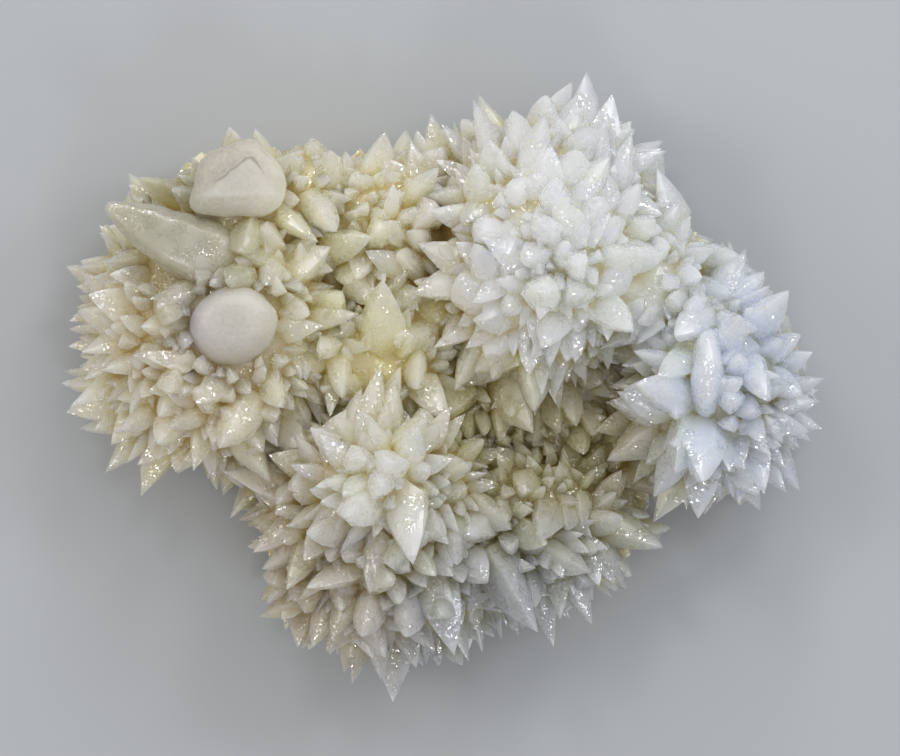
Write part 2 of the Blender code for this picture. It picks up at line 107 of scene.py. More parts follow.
# %% Crystals one by one: tip x, tip y, girdle x, girdle y, width
LEFT_CRYSTALS = [
    (-101, 65.7, -92, 61, 6), (-107.5, 52.3, -100, 46, 5), (-107.7, 45.5, -101, 40, 5),
    (-87.3, 70.3, -78, 66, 6), (-89, 65.5, -80, 62, 8), (-82.3, 76.2, -79, 68, 6),
    (-70, 86.2, -68, 74, 11), (-61.5, 85.8, -58, 74, 10), (-121, 40, -107, 40, 8),
    (-118.8, 35.2, -108, 36, 5), (-118.8, 27.3, -110, 29, 5), (-116.5, 30.5, -102, 26, 12),
    (-124.5, 22, -112, 25, 6), (-124.5, 19.2, -110, 20, 6), (-124.8, 13.5, -113, 14.5, 6),
    (-121, 10.3, -112, 9, 4), (-119.3, 11.5, -105, 15, 9), (-109.5, 37, -98, 36, 8),
    (-99.8, 33.2, -93.5, 30.5, 6), (-93.3, 26, -84, 31, 9), (-98.5, 19.7, -86, 20.5, 9),
    (-101.5, 10.5, -88, 10, 9), (-112.5, 5.5, -100, 9, 8), (-118.5, 4.5, -109, 4, 6),
    (-126.4, 5.2, -115, 5, 6), (-127, 1.3, -112, 0, 9), (-125.3, -8.5, -108, -6, 14),
    (-121.5, -14, -108, -13, 6), (-107.5, -4, -97, -2, 9), (-93, -9.8, -88, -3, 9),
    (-106.7, -16.7, -97, -12, 7), (-97, -21.3, -92, -11, 7), (-112.3, -28.8, -101, -16, 10),
    (-100, -36.3, -91, -18, 14), (-96.5, -1.5, -89, 1, 6), (-98.8, 5.5, -92, 4, 6),
    (-90, -13.5, -80, -8, 8), (-80.3, -5.5, -73, 1, 9), (-85, -2, -83, 1, 8), (-73, -20.3, -64, -5, 13),
    (-82, -28, -79, -14, 9), (-72.3, -28.7, -73, -19, 6), (-65.3, -27.3, -68, -18, 6),
    (-64.7, 43.7, -55, 42, 9), (-58, 33.3, -55, 41, 8), (-45, 32, -52, 35, 6), (-51, 48.5, -42, 40, 9),
    (-43.5, -14, -52, -8, 9), (-54, -17, -57, -9, 7), (-52, -7, -57, 2, 9), (-44.5, 1.8, -46, 9, 6),
    (-44, -3.5, -50, 1, 6), (-53, 12.5, -46, 13, 6),
]
MIDDLE_CRYSTALS = [
    (-18.5, 85, -23, 71, 14), (-36.3, 78.3, -37, 68, 9), (-31.8, 78.7, -31, 69, 6),
    (-10, 82.3, -8, 68, 8), (-8.3, 86, -5, 73, 8), (-3.5, 91.5, -1.5, 74, 11), (-17, 75.5, -11, 69, 6),
    (-20.5, 53.7, -14, 50, 8), (-7.5, 51, -7, 48, 9), (-14.5, 44.5, -8, 39, 9), (-25, 45, -15, 40, 9),
    (-22.5, 49.5, -37, 46, 12), (-35, 42, -40, 40, 9), (-19, 35.5, -20, 17, 15),
    (-31, 28.3, -40, 31, 7), (-33, 22, -30, 19, 7), (-22.5, 12.5, -33, 15, 7), (-40, 12.5, -36, 14, 9),
    (-16, 14.5, -5, 18, 10), (-8, 26.5, 2, 22, 8), (-6.5, 34.3, 0, 38, 7), (-2.5, 42, 3, 32, 11),
    (-8, 8, 3, 7, 8), (-8, -1, -8, 9, 9), (-32.5, -4, -34, 8, 9), (-36.7, -10, -36, 3, 9),
    (-3.8, -13, 7, -1, 12), (-3, -2.5, 3, 2, 5),
]
CROWN_CRYSTALS = [
    (-15.2, 3, -17, -15, 10), (-27.3, -7, -24, -17, 9), (-34.5, -10, -28, -19, 9),
    (-43, -13, -32, -21, 10), (-4.7, -9.7, -14, -20, 11), (-11.5, -4, -10, -12, 6),
    (-57, -22.3, -43, -27, 12), (-38.5, -31, -29, -32, 8), (-39.3, -37.3, -30, -38, 9),
    (-44.3, -48, -31, -46, 12), (-50.5, -46, -39, -41, 8), (-49, -35.5, -40, -36, 7),
    (-31, -42, -24, -38, 13), (-17, -24, -16, -26, 11), (-29, -22, -26, -25, 11),
    (-9, -58, -12, -36, 16), (-23.4, -68, -21, -52, 9), (-22, -63.5, -19, -50, 8),
    (-19, -33, -20, -31, 9),
]
BOTTOM_CRYSTALS = [
    (-59.5, -35, -50, -38, 8), (-68.5, -31, -54, -32, 9), (-66, -23.3, -53, -24, 8),
    (-64, -43, -54, -40, 7), (-61.8, -46.8, -52, -43, 7), (-62.3, -54.9, -48, -46, 9),
    (-59.3, -60.3, -47, -53, 8), (-58, -72, -47, -60, 9), (-51, -67, -43, -53, 10),
    (-60.4, -76.4, -42, -69, 12), (-46, -86.7, -37, -73, 9), (-44.3, -66, -30, -61, 11),
    (-37.5, -57, -33, -51, 7), (-33, -74, -33, -66, 8), (-26, -82.3, -22, -69, 11),
    (-32.4, -95.5, -28, -79, 8), (-29.8, -99.4, -25, -80, 10), (-16, -105, -17, -82, 13),
    (-8.2, -93.3, -13, -78, 11), (-11.5, -82.5, -11, -69, 11), (-5, -92.5, -5, -77, 7),
    (-0.6, -93.2, 0, -76, 8), (4.5, -88.5, -1, -64, 14), (9.3, -88.2, 8, -72, 7),
    (13.8, -88.7, 11, -71, 8), (18.5, -81, 13, -69, 7), (20.3, -84.5, 17, -70, 6),
    (26, -83.5, 22, -69, 6), (32, -81, 17, -57, 17), (31.3, -73, 29, -61, 9),
    (37.5, -86.7, 32, -66, 10), (39.5, -77.2, 39, -62, 9), (50.2, -79, 41, -62, 11),
    (50.6, -71.3, 45, -59, 7), (52.5, -66, 48, -55, 8), (57.5, -65.5, 51, -55, 7),
    (61.2, -66.7, 53, -52, 7), (49.4, -61, 34, -54, 12), (52, -53.8, 44, -53, 7),
    (74, -53.4, 55, -46, 13), (69.8, -43.3, 56, -42, 8), (60, -42.6, 49, -45, 9),
    (63.5, -40.7, 57, -36, 6), (32.5, -50.3, 35, -42, 11), (42.5, -47.3, 42, -41, 7),
    (47, -46.5, 46, -38, 8), (23.4, -47, 11, -39, 12), (0.5, -36, 5, -35, 9), (9.8, -26, -1, -27, 9),
    (7.5, -64.5, 3, -57, 8), (17, -33, 19, -30, 7), (27, -36, 28, -32, 9), (9, -53, 7, -49, 10),
    (38, -32, 37, -29, 8),
]
VALLEY_CRYSTALS = [
    (4.7, -15.9, 5, -9, 6), (9.5, -18, 9, -10, 7), (19.5, -18, 20, -7, 8), (30.7, -15.5, 22, 1, 13),
    (23.6, -13, 19, -1, 9), (30.7, -20, 33, -9, 7), (39.3, -15.5, 37, -5, 8), (45, -13.3, 42, -1, 10),
    (51, -16, 50, -8, 9), (47.5, -22.5, 46, -14, 8), (61, -13, 57, -6, 6), (60, -17, 67, -10, 6),
    (59, -18.5, 58, -11, 8), (43, -27, 43, -23, 9), (53, -26, 52, -22, 9), (58, -29, 57, -25, 9),
    (57, -1.7, 58, 6, 9), (65, -3.8, 61, 4, 7), (10, 43, -2, 60, 8),
]
UPPER_RIGHT_CRYSTALS = [
    (3.5, 82.8, 8, 74, 6), (8.3, 85.8, 12, 76, 6), (7, 83, 12, 73, 8), (12, 89.7, 16, 77, 9),
    (15.7, 82, 18, 70, 10), (11, 73.3, 14, 63, 11), (21.5, 89, 24, 79, 7), (23.5, 91.3, 27, 77, 12),
    (34, 88.8, 30, 71, 13), (37.2, 91.3, 41, 81, 8), (48.4, 105, 46.5, 83, 13), (57, 97.4, 53, 79, 12),
    (65, 85.9, 56, 79, 9), (73.7, 79.7, 61, 74, 10), (72.2, 57, 66, 70, 10), (1.5, 56, 7, 65, 12),
    (7, 53.5, 12, 60, 8), (9.5, 45.5, 7, 54, 8), (14, 51, 16, 51, 10), (11.5, 46, 16, 38, 11),
    (6, 37, 13, 30, 13), (21.5, 42.3, 22, 51, 8), (28, 43, 31, 43, 11), (33, 53, 34, 52, 11),
    (33, 31, 34, 30, 13), (10.3, 22, 21, 22, 8), (33.3, 12.4, 38, 23, 10), (11, 5, 22, 12, 13),
    (6.5, 4, 13, 5, 8), (9.5, 10.7, 1, 19, 9), (24.7, 2.3, 25, 9, 7), (49.5, 5, 34, 6, 10),
    (63.8, 47, 55, 33, 12), (67, 29.5, 60, 20, 10), (79.3, 61.3, 72, 50, 9), (82.7, 56.8, 78, 47, 7),
    (90.5, 45.8, 81, 42, 8), (74.5, 48, 70, 43, 8), (47.5, 51, 57, 53, 9), (53.5, 62.5, 49, 54, 9),
    (60.5, 57, 62, 66, 9), (45.5, 77.5, 42, 69, 10), (55, 70, 54, 64, 11), (44, 19, 46, 23, 9),
    (62.7, 15.5, 50, 11, 10), (25, 66, 25, 63, 10), (36, 64, 37, 62, 10), (46, 40, 44, 40, 10),
    (43, 30, 45, 31, 10), (22, 26, 24, 28, 9),
]
RIGHT_CRYSTALS = [
    (55.2, -5, 69, -7, 11), (63.8, 1.2, 79, -3, 14), (72.2, 5.5, 67, 17, 10), (71, 3.4, 80, 9, 10),
    (74.5, 15, 77, 17, 9), (55, -24.4, 72, -13, 13), (67.5, -25.6, 77, -17, 8), (100.4, 44, 93, 31, 12),
    (91.3, 43.7, 89, 35, 6), (95, 43.4, 92, 35, 6), (106.8, 38.3, 98, 28, 9), (108.5, 33.6, 99, 25, 8),
    (114.4, 31.9, 103, 19, 13), (104.2, 18.8, 93, 22, 10), (92, 8, 101, 13, 9), (103.7, 5, 111, 6, 9),
    (112.5, 15.5, 105, 12, 7), (118.6, 17.4, 109, 10, 9), (123, 11.6, 111, 7, 9), (127, 2.8, 112, 0, 9),
    (125.4, -1, 113, -3, 7), (126, -4.7, 113, -6, 8), (126.5, -13.9, 112, -8, 9),
    (122.7, -17.9, 111, -10, 8), (119, -20.2, 110, -12, 8), (119.5, -34.6, 109, -18, 12),
    (115, -35.2, 106, -21, 9), (107, -35.5, 103, -20, 11), (101, -27.6, 97, -21, 6),
    (104.5, -34.8, 97, -23, 8), (97, -37, 95, -25, 8), (92.8, -37, 91, -26, 6),
    (85.3, -43.7, 87, -26, 12), (82, -41.2, 81, -27, 6), (71.3, -38.5, 74, -20, 10),
    (73.4, -33, 78, -22, 7), (85.7, -31.5, 86, -14, 16), (76.7, -28.4, 82, -13, 13),
    (95, -28, 94, -17, 7), (106.5, -19, 102, -11, 8), (99, 1.5, 91, 0, 9),
    (76, 30, 79, 27, 9), (87, 33, 84, 28, 8), (98, 10, 97, 5, 8),
    (103, -8, 100, -6, 9),
]
CRYSTALS = np.array(LEFT_CRYSTALS + MIDDLE_CRYSTALS + CROWN_CRYSTALS + BOTTOM_CRYSTALS
                    + VALLEY_CRYSTALS + UPPER_RIGHT_CRYSTALS + RIGHT_CRYSTALS, float)
print("listed crystals:", len(CRYSTALS))

# %% Heights of the listed crystals
SLENDERNESS = 1.9  # length of a crystal above its girdle, over its width
RIM_REACH = 0.86  # where a lobe's rim begins, as a share of its radius from above
TOP_REACH = 0.55  # where a lobe's top ends
TOP_TILT = 76.0  # steepest rise of a crystal on a lobe's top, degrees
RIM_TILT = 14.0  # steepest rise of a crystal well out on a lobe's rim, degrees
TURN_REACH = 0.4  # how far out from the top the steepest rise takes to reach the rim's
END_ON_RUN = 2.5  # a crystal that runs less than this from above points straight up
SURFACE_RISE = 1.5  # height of a girdle above the mass
RIM_RISE = 5.0  # height of a girdle just outside a lobe, above the lobe's centre
RIM_FALL = 24.0  # how much lower it stands for each radius farther out
LOWEST_GIRDLE = 14.0


def ground(places):
    """Height of the mass under each place, and how near that place is to the rim, 1 on the rim.

    Under a lobe the height is cz + rz * sqrt(1 - reach^2), the highest of the lobes there. Outside
    all lobes it falls away from the centre height of the nearest one.
    """
    reach = plan_norms(places)
    tops = CENTRES[:, 2] + RADII[:, 2] * np.sqrt(np.clip(1 - reach ** 2, 0, None))
    tops = np.where(reach < 1, tops, -np.inf)
    best = tops.argmax(axis=1)
    nearest = reach[:, :-1].argmin(axis=1)
    rows = np.arange(len(places))
    inside = tops[rows, best] > 0
    beyond = reach[rows, nearest]
    outside = np.maximum(CENTRES[nearest, 2] + RIM_RISE - RIM_FALL * (beyond - 1), LOWEST_GIRDLE)
    return np.where(inside, tops[rows, best], outside), np.where(inside, reach[rows, best], beyond)


def stand_up(rows):
    """Tips, girdles, widths and rim flags of crystals whose places are listed from above."""
    tip, girdle, width = rows[:, 0:2], rows[:, 2:4], rows[:, 4]
    height, reach = ground(girdle)
    run = np.linalg.norm(tip - girdle, axis=1)
    length = np.maximum(run, SLENDERNESS * width)
    rim = np.clip((reach - TOP_REACH) / TURN_REACH, 0, 1)
    steepest = np.radians(TOP_TILT + (RIM_TILT - TOP_TILT) * rim)
    tilt = np.minimum(np.arccos(np.clip(run / length, 0, 1)), steepest)
    rise = np.where(run < END_ON_RUN, SLENDERNESS * width, run * np.tan(tilt))
    girdles = np.column_stack([girdle, height + SURFACE_RISE])
    return np.column_stack([tip, girdles[:, 2] + rise]), girdles, width, reach > RIM_REACH


tips, girdles, widths, on_rim = stand_up(CRYSTALS)
print("tips from", round(tips[:, 2].min()), "to", round(tips[:, 2].max()), "mm high")

# %% [markdown]
# ## Crystals on the flanks
#
# Below the rims the flanks carry crystals too. They stand in two rows round every lobe, pointing
# outwards, and each is as long as the crystals of the rim above it can hide.

# %% Two rows round each lobe
HALF_LENGTH = 126.0  # limits of the crystals that aren't listed
HALF_WIDTH = 104.0
TIP_CLEARANCE = 2.5
FLANK_HEIGHTS = (26.0, 11.0)
FLANK_SPACING = 12.0
FLANK_LENGTHS = (14.0, 11.0, 8.0)
FLANK_WIDTH = 0.72  # width over length
FLANK_LIFT = 0.25  # how much they turn up from straight out
FLANK_SHIFT = 0.2  # how far each is shifted along its row, over the spacing
FLANK_WAVER = 2.0  # how far each is shifted up or down
FREE_DEPTH = 2.0  # how far out from its start a crystal has to be free of other lobes
COVER = 4.0  # how near to a crystal of the rim, seen from above, a tip has to be
rim_tips, rim_girdles = tips[on_rim, :2], girdles[on_rim, :2]


def from_lines(points, starts, ends):
    """Distance of each point from each line, and where along the line that is, from 0 to 1."""
    line = ends - starts
    offset = points[:, None] - starts
    share = np.clip((offset * line).sum(-1) / (line ** 2).sum(-1), 0, 1)
    return np.linalg.norm(offset - line * share[..., None], axis=-1), share


def hidden(points, cover=COVER):
    """True for a point that is over a lobe or near a crystal of the rim, seen from above."""
    gap = from_lines(points[:, :2], rim_girdles, rim_tips)[0].min(axis=1)
    kept = (np.abs(points[:, 0]) < HALF_LENGTH) & (np.abs(points[:, 1]) < HALF_WIDTH)
    return ((plan_norms(points).min(axis=1) < 1) | (gap < cover)) & kept & (points[:, 2] > TIP_CLEARANCE)


def flank_row(lobe, height, turn, rng):
    """Starts and directions of one row: on the ellipsoid, out = (cos / rx, sin / ry) turned up a little."""
    rx, ry, rz = RADII[lobe]
    count = round(math.pi * (rx + ry) / FLANK_SPACING)
    chance = rng.random((count, 2)) * 2 - 1
    angle = (np.arange(count) + turn + FLANK_SHIFT * chance[:, 0]) * 2 * math.pi / count
    z = height + FLANK_WAVER * chance[:, 1]
    drop = (z - CENTRES[lobe, 2]) / np.where(z > CENTRES[lobe, 2], rz, BELLY)
    share = np.sqrt(1 - drop ** 2)
    across, along = np.cos(angle), np.sin(angle)
    starts = np.column_stack([CENTRES[lobe, 0] + rx * share * across,
                              CENTRES[lobe, 1] + ry * share * along, z])
    out = unit(np.column_stack([across / rx, along / ry]))
    return starts, unit(np.column_stack([out, drop + FLANK_LIFT]))


rng = np.random.default_rng(17)
rows = [[tips, girdles, widths]]
for lobe in range(len(LOBES) - 1):
    for row, height in enumerate(FLANK_HEIGHTS):
        starts, out = flank_row(lobe, height, row / 2, rng)
        others = np.delete(lobe_norms(starts + out * FREE_DEPTH), lobe, axis=1)
        free = others.min(axis=1) >= 1
        for length in FLANK_LENGTHS:
            fits = free & hidden(starts + out * length)
            rows.append([(starts + out * length)[fits], starts[fits],
                         np.full(fits.sum(), length * FLANK_WIDTH)])
            free &= ~fits
tips, girdles, widths = (np.concatenate(parts) for parts in zip(*rows))
print("crystals with the flanks:", len(tips))

# %% [markdown]
# ## Small crystals that fill the gaps
#
# Between the crystals that can be told apart the crust is covered by smaller ones. A particle system could
# scatter them, but it lets them overlap as it likes. Here they are thrown at random onto the lobes, large
# sizes first, and each is kept only where there is room, which is how crystals crowd each other out.
# Neighbours lean the same way, because they grew towards the same open space.

# %% Smooth random values over space
WAVE_COUNT = 8
WAVE_GAIN = 1.6  # brings the mean of the waves back to about -1 to 1


def waves(points, size, seed, channels=1):
    """Smooth uneven values about -1 to 1: the mean of sines of (direction . point + start)."""
    chance = np.random.default_rng(seed)
    total = []
    for _ in range(channels):
        directions = unit(chance.normal(size=(WAVE_COUNT, 3))) * 2 * math.pi / size
        starts = chance.uniform(0, 6.3, WAVE_COUNT)
        total.append(np.sin(points @ directions.T + starts).mean(axis=-1) * WAVE_GAIN)
    return total[0] if channels == 1 else np.stack(total, axis=-1)


# %% Places with small crystals only, and places with none
FINE_WIDTH = 5.8  # widest crystal in the first of these
FINE = np.array([  # centre x, y, z and radii x, y, z
    (28, -27, 30, 30, 18, 25),  # low ground right of the crown
    (54, 11, 50, 12, 12, 20),  # ridge above the valley
    (-28, 12, 45, 14, 12, 20),  # middle
    (20, 55, 65, 12, 14, 20),  # left slope of the upper right lobe
    (-30, 60, 50, 12, 10, 14),  # upper middle
    (-47, 70, 45, 10, 10, 20),  # shoulder beside the broken crystal
], float)
BARE = np.array([
    (-67, 69, 70, 18, 15, 16),  # the broken crystal
    (-68, 20, 66, 16, 15, 14),  # the white knob
    (-88, 51, 68, 26, 18, 13),  # the spear
    (86, 3, 66, 8, 16, 12),  # smooth white body on the right lobe
    (3, 53, 50, 6, 10, 12),  # brown wall of the valley
    (-20, 4, 48, 9, 8, 12),  # smooth body in the middle
    (68, 36, 55, 7, 9, 12),  # smooth patch of the saddle
], float)
SWELL = 2.5  # how far the crust stands out from the solid's lobes
LOWEST_START = 5.0
FAR = 9.0  # stands in for a lobe's own distance where only the others count


def within(points, places):
    """True for points inside any of the listed ellipsoids."""
    return (np.linalg.norm((points[:, None] - places[:, :3]) / places[:, 3:], axis=-1) < 1).any(axis=1)


def on_lobes(count, rng):
    """Random points on the outer surfaces of the lobes, with the direction that the surface faces.

    A random unit vector u on lobe (c, r) gives the point c + r * u and the direction u / r, made a unit.
    On the upper half the point is then moved out by the swell.
    """
    area = RADII[:, 0] * RADII[:, 1]
    lobe = rng.choice(len(LOBES), count, p=area / area.sum())
    facing = unit(rng.normal(size=(count, 3)))
    radii = RADII[lobe].copy()
    radii[:, 2] = np.where(facing[:, 2] > 0, radii[:, 2], BELLY)
    points = CENTRES[lobe] + radii * facing
    norms = lobe_norms(points)
    norms[np.arange(count), lobe] = FAR
    keep = (norms.min(axis=1) > 1) & (points[:, 2] > LOWEST_START) & ~within(points, BARE)
    out = unit(facing / radii)[keep]
    return points[keep] + SWELL * out * (out[:, 2:] > 0), out


# %% Room for one more
FILL_GAP = 0.30  # least distance of two crystals' middles, over both widths
ROWS_AT_ONCE = 400  # keeps the tables of distances small


def room(points, width, starts, ends, others):
    """True for points farther than the gap from every crystal, each taken as a tapering line.

    At share s of the way up a crystal's line its width counts (1 - s) times.
    """
    clear = []
    for some in np.array_split(points, len(points) // ROWS_AT_ONCE + 1):
        away, share = from_lines(some, starts, ends)
        clear.append((away > FILL_GAP * (width + others * (1 - share))).all(axis=1))
    return np.concatenate(clear)


def spaced(points, distance):
    """Numbers of points taken one after the other, each farther than the distance from those before."""
    kept = np.empty((0, 3))
    numbers = []
    for k, point in enumerate(points):
        if (((kept - point) ** 2).sum(axis=1) > distance ** 2).all():
            kept = np.vstack([kept, point])
            numbers.append(k)
    return numbers


# %% Lean of a patch, and crystals that follow a wall
FILL_LENGTH = (1.35, 2.1)  # length over width
FILL_SWAY = 0.65  # how far a patch of crystals leans from the surface's direction
FILL_JITTER = 0.28  # how far each crystal leans from its patch
FILL_LIFT = 0.15
PATCH_SIZE = 34.0
PATCH_SEED = 77
LEAST_SLANT = 0.35  # least rise out of the surface, over the length
WALL_LEAST_SLANT = -0.1
WALL_TURN = 30.0  # height above which a crystal on a wall grows up and not down
WALL_LEAN = 0.2  # how far such a crystal leans out from the wall
WALL_SINK = 0.25  # how deep it is sunk into the wall, over its width
WALL_SHOW = 3.0  # how far its tip may stand out past the outline seen from above
WIDTH_VARIES = (0.85, 1.15)


def grow(points, facing, width, rng):
    """Tips, starts and widths of crystals from points on the lobes, without those that don't fit.

    direction = facing + patch's sway + jitter + lift. A crystal whose tip would leave the outline
    stands on a wall of the cluster and grows along it instead, up or down.
    """
    sway = FILL_SWAY * waves(points, PATCH_SIZE, PATCH_SEED, 3) + rng.normal(0, FILL_JITTER, facing.shape)
    lean = unit(facing + sway + [0, 0, FILL_LIFT])
    length = width * rng.uniform(*FILL_LENGTH, len(points))
    outside = ~hidden(points + lean * length[:, None], 2 * COVER)[:, None]
    turned = np.sign(points[:, 2:] - WALL_TURN + rng.normal(0, WALL_TURN / 4, (len(points), 1)))
    along = unit(WALL_LEAN * facing + sway / 3 + turned * [0, 0, 1.0])
    lean = np.where(outside, along, lean)
    starts = points - WALL_SINK * width * facing * outside
    ends = starts + lean * length[:, None]
    fits = hidden(ends - WALL_SHOW * facing * outside, 2 * COVER) & ~within(ends, BARE)
    fits &= (lean * facing).sum(axis=1) > np.where(outside[:, 0], WALL_LEAST_SLANT, LEAST_SLANT)
    return ends[fits], starts[fits], (width * rng.uniform(*WIDTH_VARIES, len(points)))[fits]


# %% Throw crystals onto the lobes, large ones first
FILL_WIDTHS = np.geomspace(10.5, 4.0, 8)
FILL_THROWS = 120000  # throws for each size, over its width squared

rng = np.random.default_rng(5)
for width in FILL_WIDTHS:
    points, facing = on_lobes(int(FILL_THROWS / width ** 2), rng)
    clear = room(points, width, girdles, tips, widths) & ~((width > FINE_WIDTH) & within(points, FINE))
    points, facing = points[clear], facing[clear]
    kept = spaced(points, 2 * FILL_GAP * width)
    grown = grow(points[kept], facing[kept], width, rng)
    tips, girdles, widths = (np.concatenate(pair) for pair in zip((tips, girdles, widths), grown))
    print("width", round(width, 1), "room for", clear.sum(), "kept", len(grown[0]))
print("crystals:", len(tips))

# %% [markdown]
# ## Crystals on crystals
#
# The wider crystals carry small ones on their flanks, seeded after they had grown. Each starts near the
# axis of its parent and comes out of a flank at a slant, so its foot is always inside the parent.

# %% Small ones on the wide ones
PARENT_WIDTH = 8.0
YOUNG_COUNT = 2  # tries for each parent
YOUNG_CHANCE = 0.36
YOUNG_WIDTH = (0.30, 0.52)
YOUNG_SHARE = (0.0, 0.45)  # how far up its parent's axis one starts
YOUNG_SLANT = (28.0, 62.0)  # degrees from its parent's axis
YOUNG_LENGTH = (0.8, 1.3)  # what shows of it, over its width
YOUNG_OFFSET = 0.22  # how far its start is from the axis, over the parent's width
YOUNG_BURIED = 0.35  # and how much of it is inside the parent, over the same
YOUNG_LIFT = 0.8  # how much more of them sit on the upper flanks


def young_ones(rng):
    """Tips, starts and widths of small crystals: direction = axis cos(slant) + out sin(slant)."""
    parent = np.repeat(np.flatnonzero(widths > PARENT_WIDTH), YOUNG_COUNT)
    parent = parent[rng.random(len(parent)) < YOUNG_CHANCE]
    count = len(parent)
    span = tips[parent] - girdles[parent]
    axis = unit(span)
    out = rng.normal(size=(count, 3)) + [0, 0, YOUNG_LIFT]
    out = unit(out - (out * axis).sum(axis=1, keepdims=True) * axis)
    share = rng.uniform(*YOUNG_SHARE, count)[:, None]
    slant = np.radians(rng.uniform(*YOUNG_SLANT, count))[:, None]
    width = widths[parent] * rng.uniform(*YOUNG_WIDTH, count)
    offset = out * (YOUNG_OFFSET * widths[parent])[:, None] * (1 - share)
    starts = girdles[parent] + span * share + offset
    buried = YOUNG_BURIED * widths[parent] * (1 - share[:, 0])
    length = (buried + rng.uniform(*YOUNG_LENGTH, count) * width)[:, None]
    ends = starts + (axis * np.cos(slant) + out * np.sin(slant)) * length
    fits = hidden(ends, COVER) & (ends[:, 2] > LOWEST_START) & ~within(ends, BARE)
    return ends[fits], starts[fits], width[fits]


rng = np.random.default_rng(8)
young = young_ones(rng)
tips, girdles, widths = (np.concatenate(pair) for pair in zip((tips, girdles, widths), young))
print("crystals with the young ones:", len(tips))

# %% [markdown]
# ## The shape of a crystal
#
# A crystal is a profile carried along its axis: rings of corners from a foot, buried in the mass, over
# the girdle to the tip. The profile bulges, so the outline is a petal and not a cone, and the corners
# of the girdle rise and fall in turn, as they do on dog-tooth calcite. All crystals are worked out at
# once, as arrays. The large ones get a point in the middle of each face too, which makes it bulge.

# %% Corners round a crystal
GIRDLE_SWING = 0.10  # how far the girdle zigzags, over the crystal's length
GIRDLE_SKEW = 7.0  # degrees by which the six corners close up in pairs
NARROW_CORNER = 0.86  # radius of every second corner, over the radius of the others
FACE_BULGE = 0.925  # how far the middle of a face stands out, over its corners
ANGLE_CHANCE = 0.09  # how uneven the corners' angles are, in radians
RADIUS_CHANCE = 0.07
RISE_CHANCE = 0.03


def corners_round(count, bulging, rng):
    """Angles, radii and rises of the corners round each crystal: three arrays (crystals, corners)."""
    sign = 1 - 2 * (np.arange(6) % 2)
    turn = rng.uniform(0, math.pi, (count, 1))
    angle = np.radians(60 * np.arange(6) + GIRDLE_SKEW * sign) + turn
    angle = angle + rng.normal(0, ANGLE_CHANCE, (count, 6))
    radius = np.where(sign < 0, NARROW_CORNER, 1.0) * (1 + rng.normal(0, RADIUS_CHANCE, (count, 6)))
    rise = np.broadcast_to(GIRDLE_SWING * sign, angle.shape) + rng.normal(0, RISE_CHANCE, (count, 6))
    if not bulging:
        return angle, radius, rise
    after = np.roll(angle, -1, axis=1) + np.where(np.arange(6) == 5, 2 * math.pi, 0)
    angle = np.stack([angle, (angle + after) / 2], axis=2).reshape(count, 12)
    radius = np.stack([radius, FACE_BULGE * (radius + np.roll(radius, -1, axis=1)) / 2], axis=2)
    rise = np.stack([rise, (rise + np.roll(rise, -1, axis=1)) / 2], axis=2)
    return angle, radius.reshape(count, 12), rise.reshape(count, 12)


# %% Feet, rings and tips of many crystals at once
PETAL = (1.25, 1.9)  # the higher, the longer the sides stay wide before they close to the tip
PETAL_UPRIGHT = 1.5  # how much more on a crystal that points straight up
BLUNT_UPRIGHT = 0.05  # and how much of its tip is missing, over its length
FLATNESS = (0.78, 1.0)  # thickness of a crystal over its width
WIDTH_GAIN = (1.16, 1.34)  # the corners' circle, over the width seen from one side
CHIPPED = 0.03  # how uneven the corners are, over the crystal's radius there
ROOT_DEPTH = 0.72  # how deep a crystal's foot reaches, as a share of its lobe
FOOT_LENGTH = 0.7  # least length of a crystal below its girdle, over its width


def feet(girdles, axes, widths):
    """The buried end of each crystal: inside the nearest lobe, and always behind the girdle."""
    least = (FOOT_LENGTH * widths)[:, None]
    points = girdles - axes * least
    norms = lobe_norms(points)
    lobe = norms.argmin(axis=1)
    pull = ROOT_DEPTH / np.maximum(norms[np.arange(len(points)), lobe], ROOT_DEPTH)
    foot = CENTRES[lobe] + (points - CENTRES[lobe]) * pull[:, None]
    behind = ((girdles - foot) * axes).sum(axis=1, keepdims=True)
    return foot - axes * np.maximum(least - behind, 0)


def crystal_points(tips, girdles, widths, steps, bulging, rng):
    """Points of many crystals: rings of corners, then foot and tip: array (crystals, points, 3).

    With the axis of length L, side and front across it, and r and rise from corners_round, a corner
    at angle a and at share s of the way from girdle to tip stands at
        girdle + axis * L * (s + rise * (1 - s)) + (side cos a + front sin a) * w / 2 * r * (1 - s^petal).
    """
    count = len(tips)
    span = tips - girdles
    length = np.linalg.norm(span, axis=1)[:, None, None]
    axes = unit(span)
    upright = np.clip(axes[:, 2:], 0, 1) ** 4
    side = unit(np.cross(axes, unit(rng.normal(size=(count, 3)))))
    front = np.cross(axes, side) * rng.uniform(*FLATNESS, (count, 1))
    angle, radius, rise = corners_round(count, bulging, rng)
    s = steps[None, :, None]
    petal = rng.uniform(*PETAL, count) + PETAL_UPRIGHT * upright[:, 0]
    half = widths * rng.uniform(*WIDTH_GAIN, count) / 2
    half = half[:, None, None] * radius[:, None, :] * (1 - s ** petal[:, None, None])
    along = length * (s + rise[:, None, :] * (1 - s))
    around = (side[:, None, None, :] * np.cos(angle)[:, None, :, None]
              + front[:, None, None, :] * np.sin(angle)[:, None, :, None])
    rings = girdles[:, None, None, :] + axes[:, None, None, :] * along[..., None] + around * half[..., None]
    rings += rng.normal(0, CHIPPED, rings.shape) * half[..., None]
    ends = np.stack([feet(girdles, axes, widths), tips - span * (BLUNT_UPRIGHT * upright)], axis=1)
    return np.concatenate([rings.reshape(count, -1, 3), ends], axis=1)


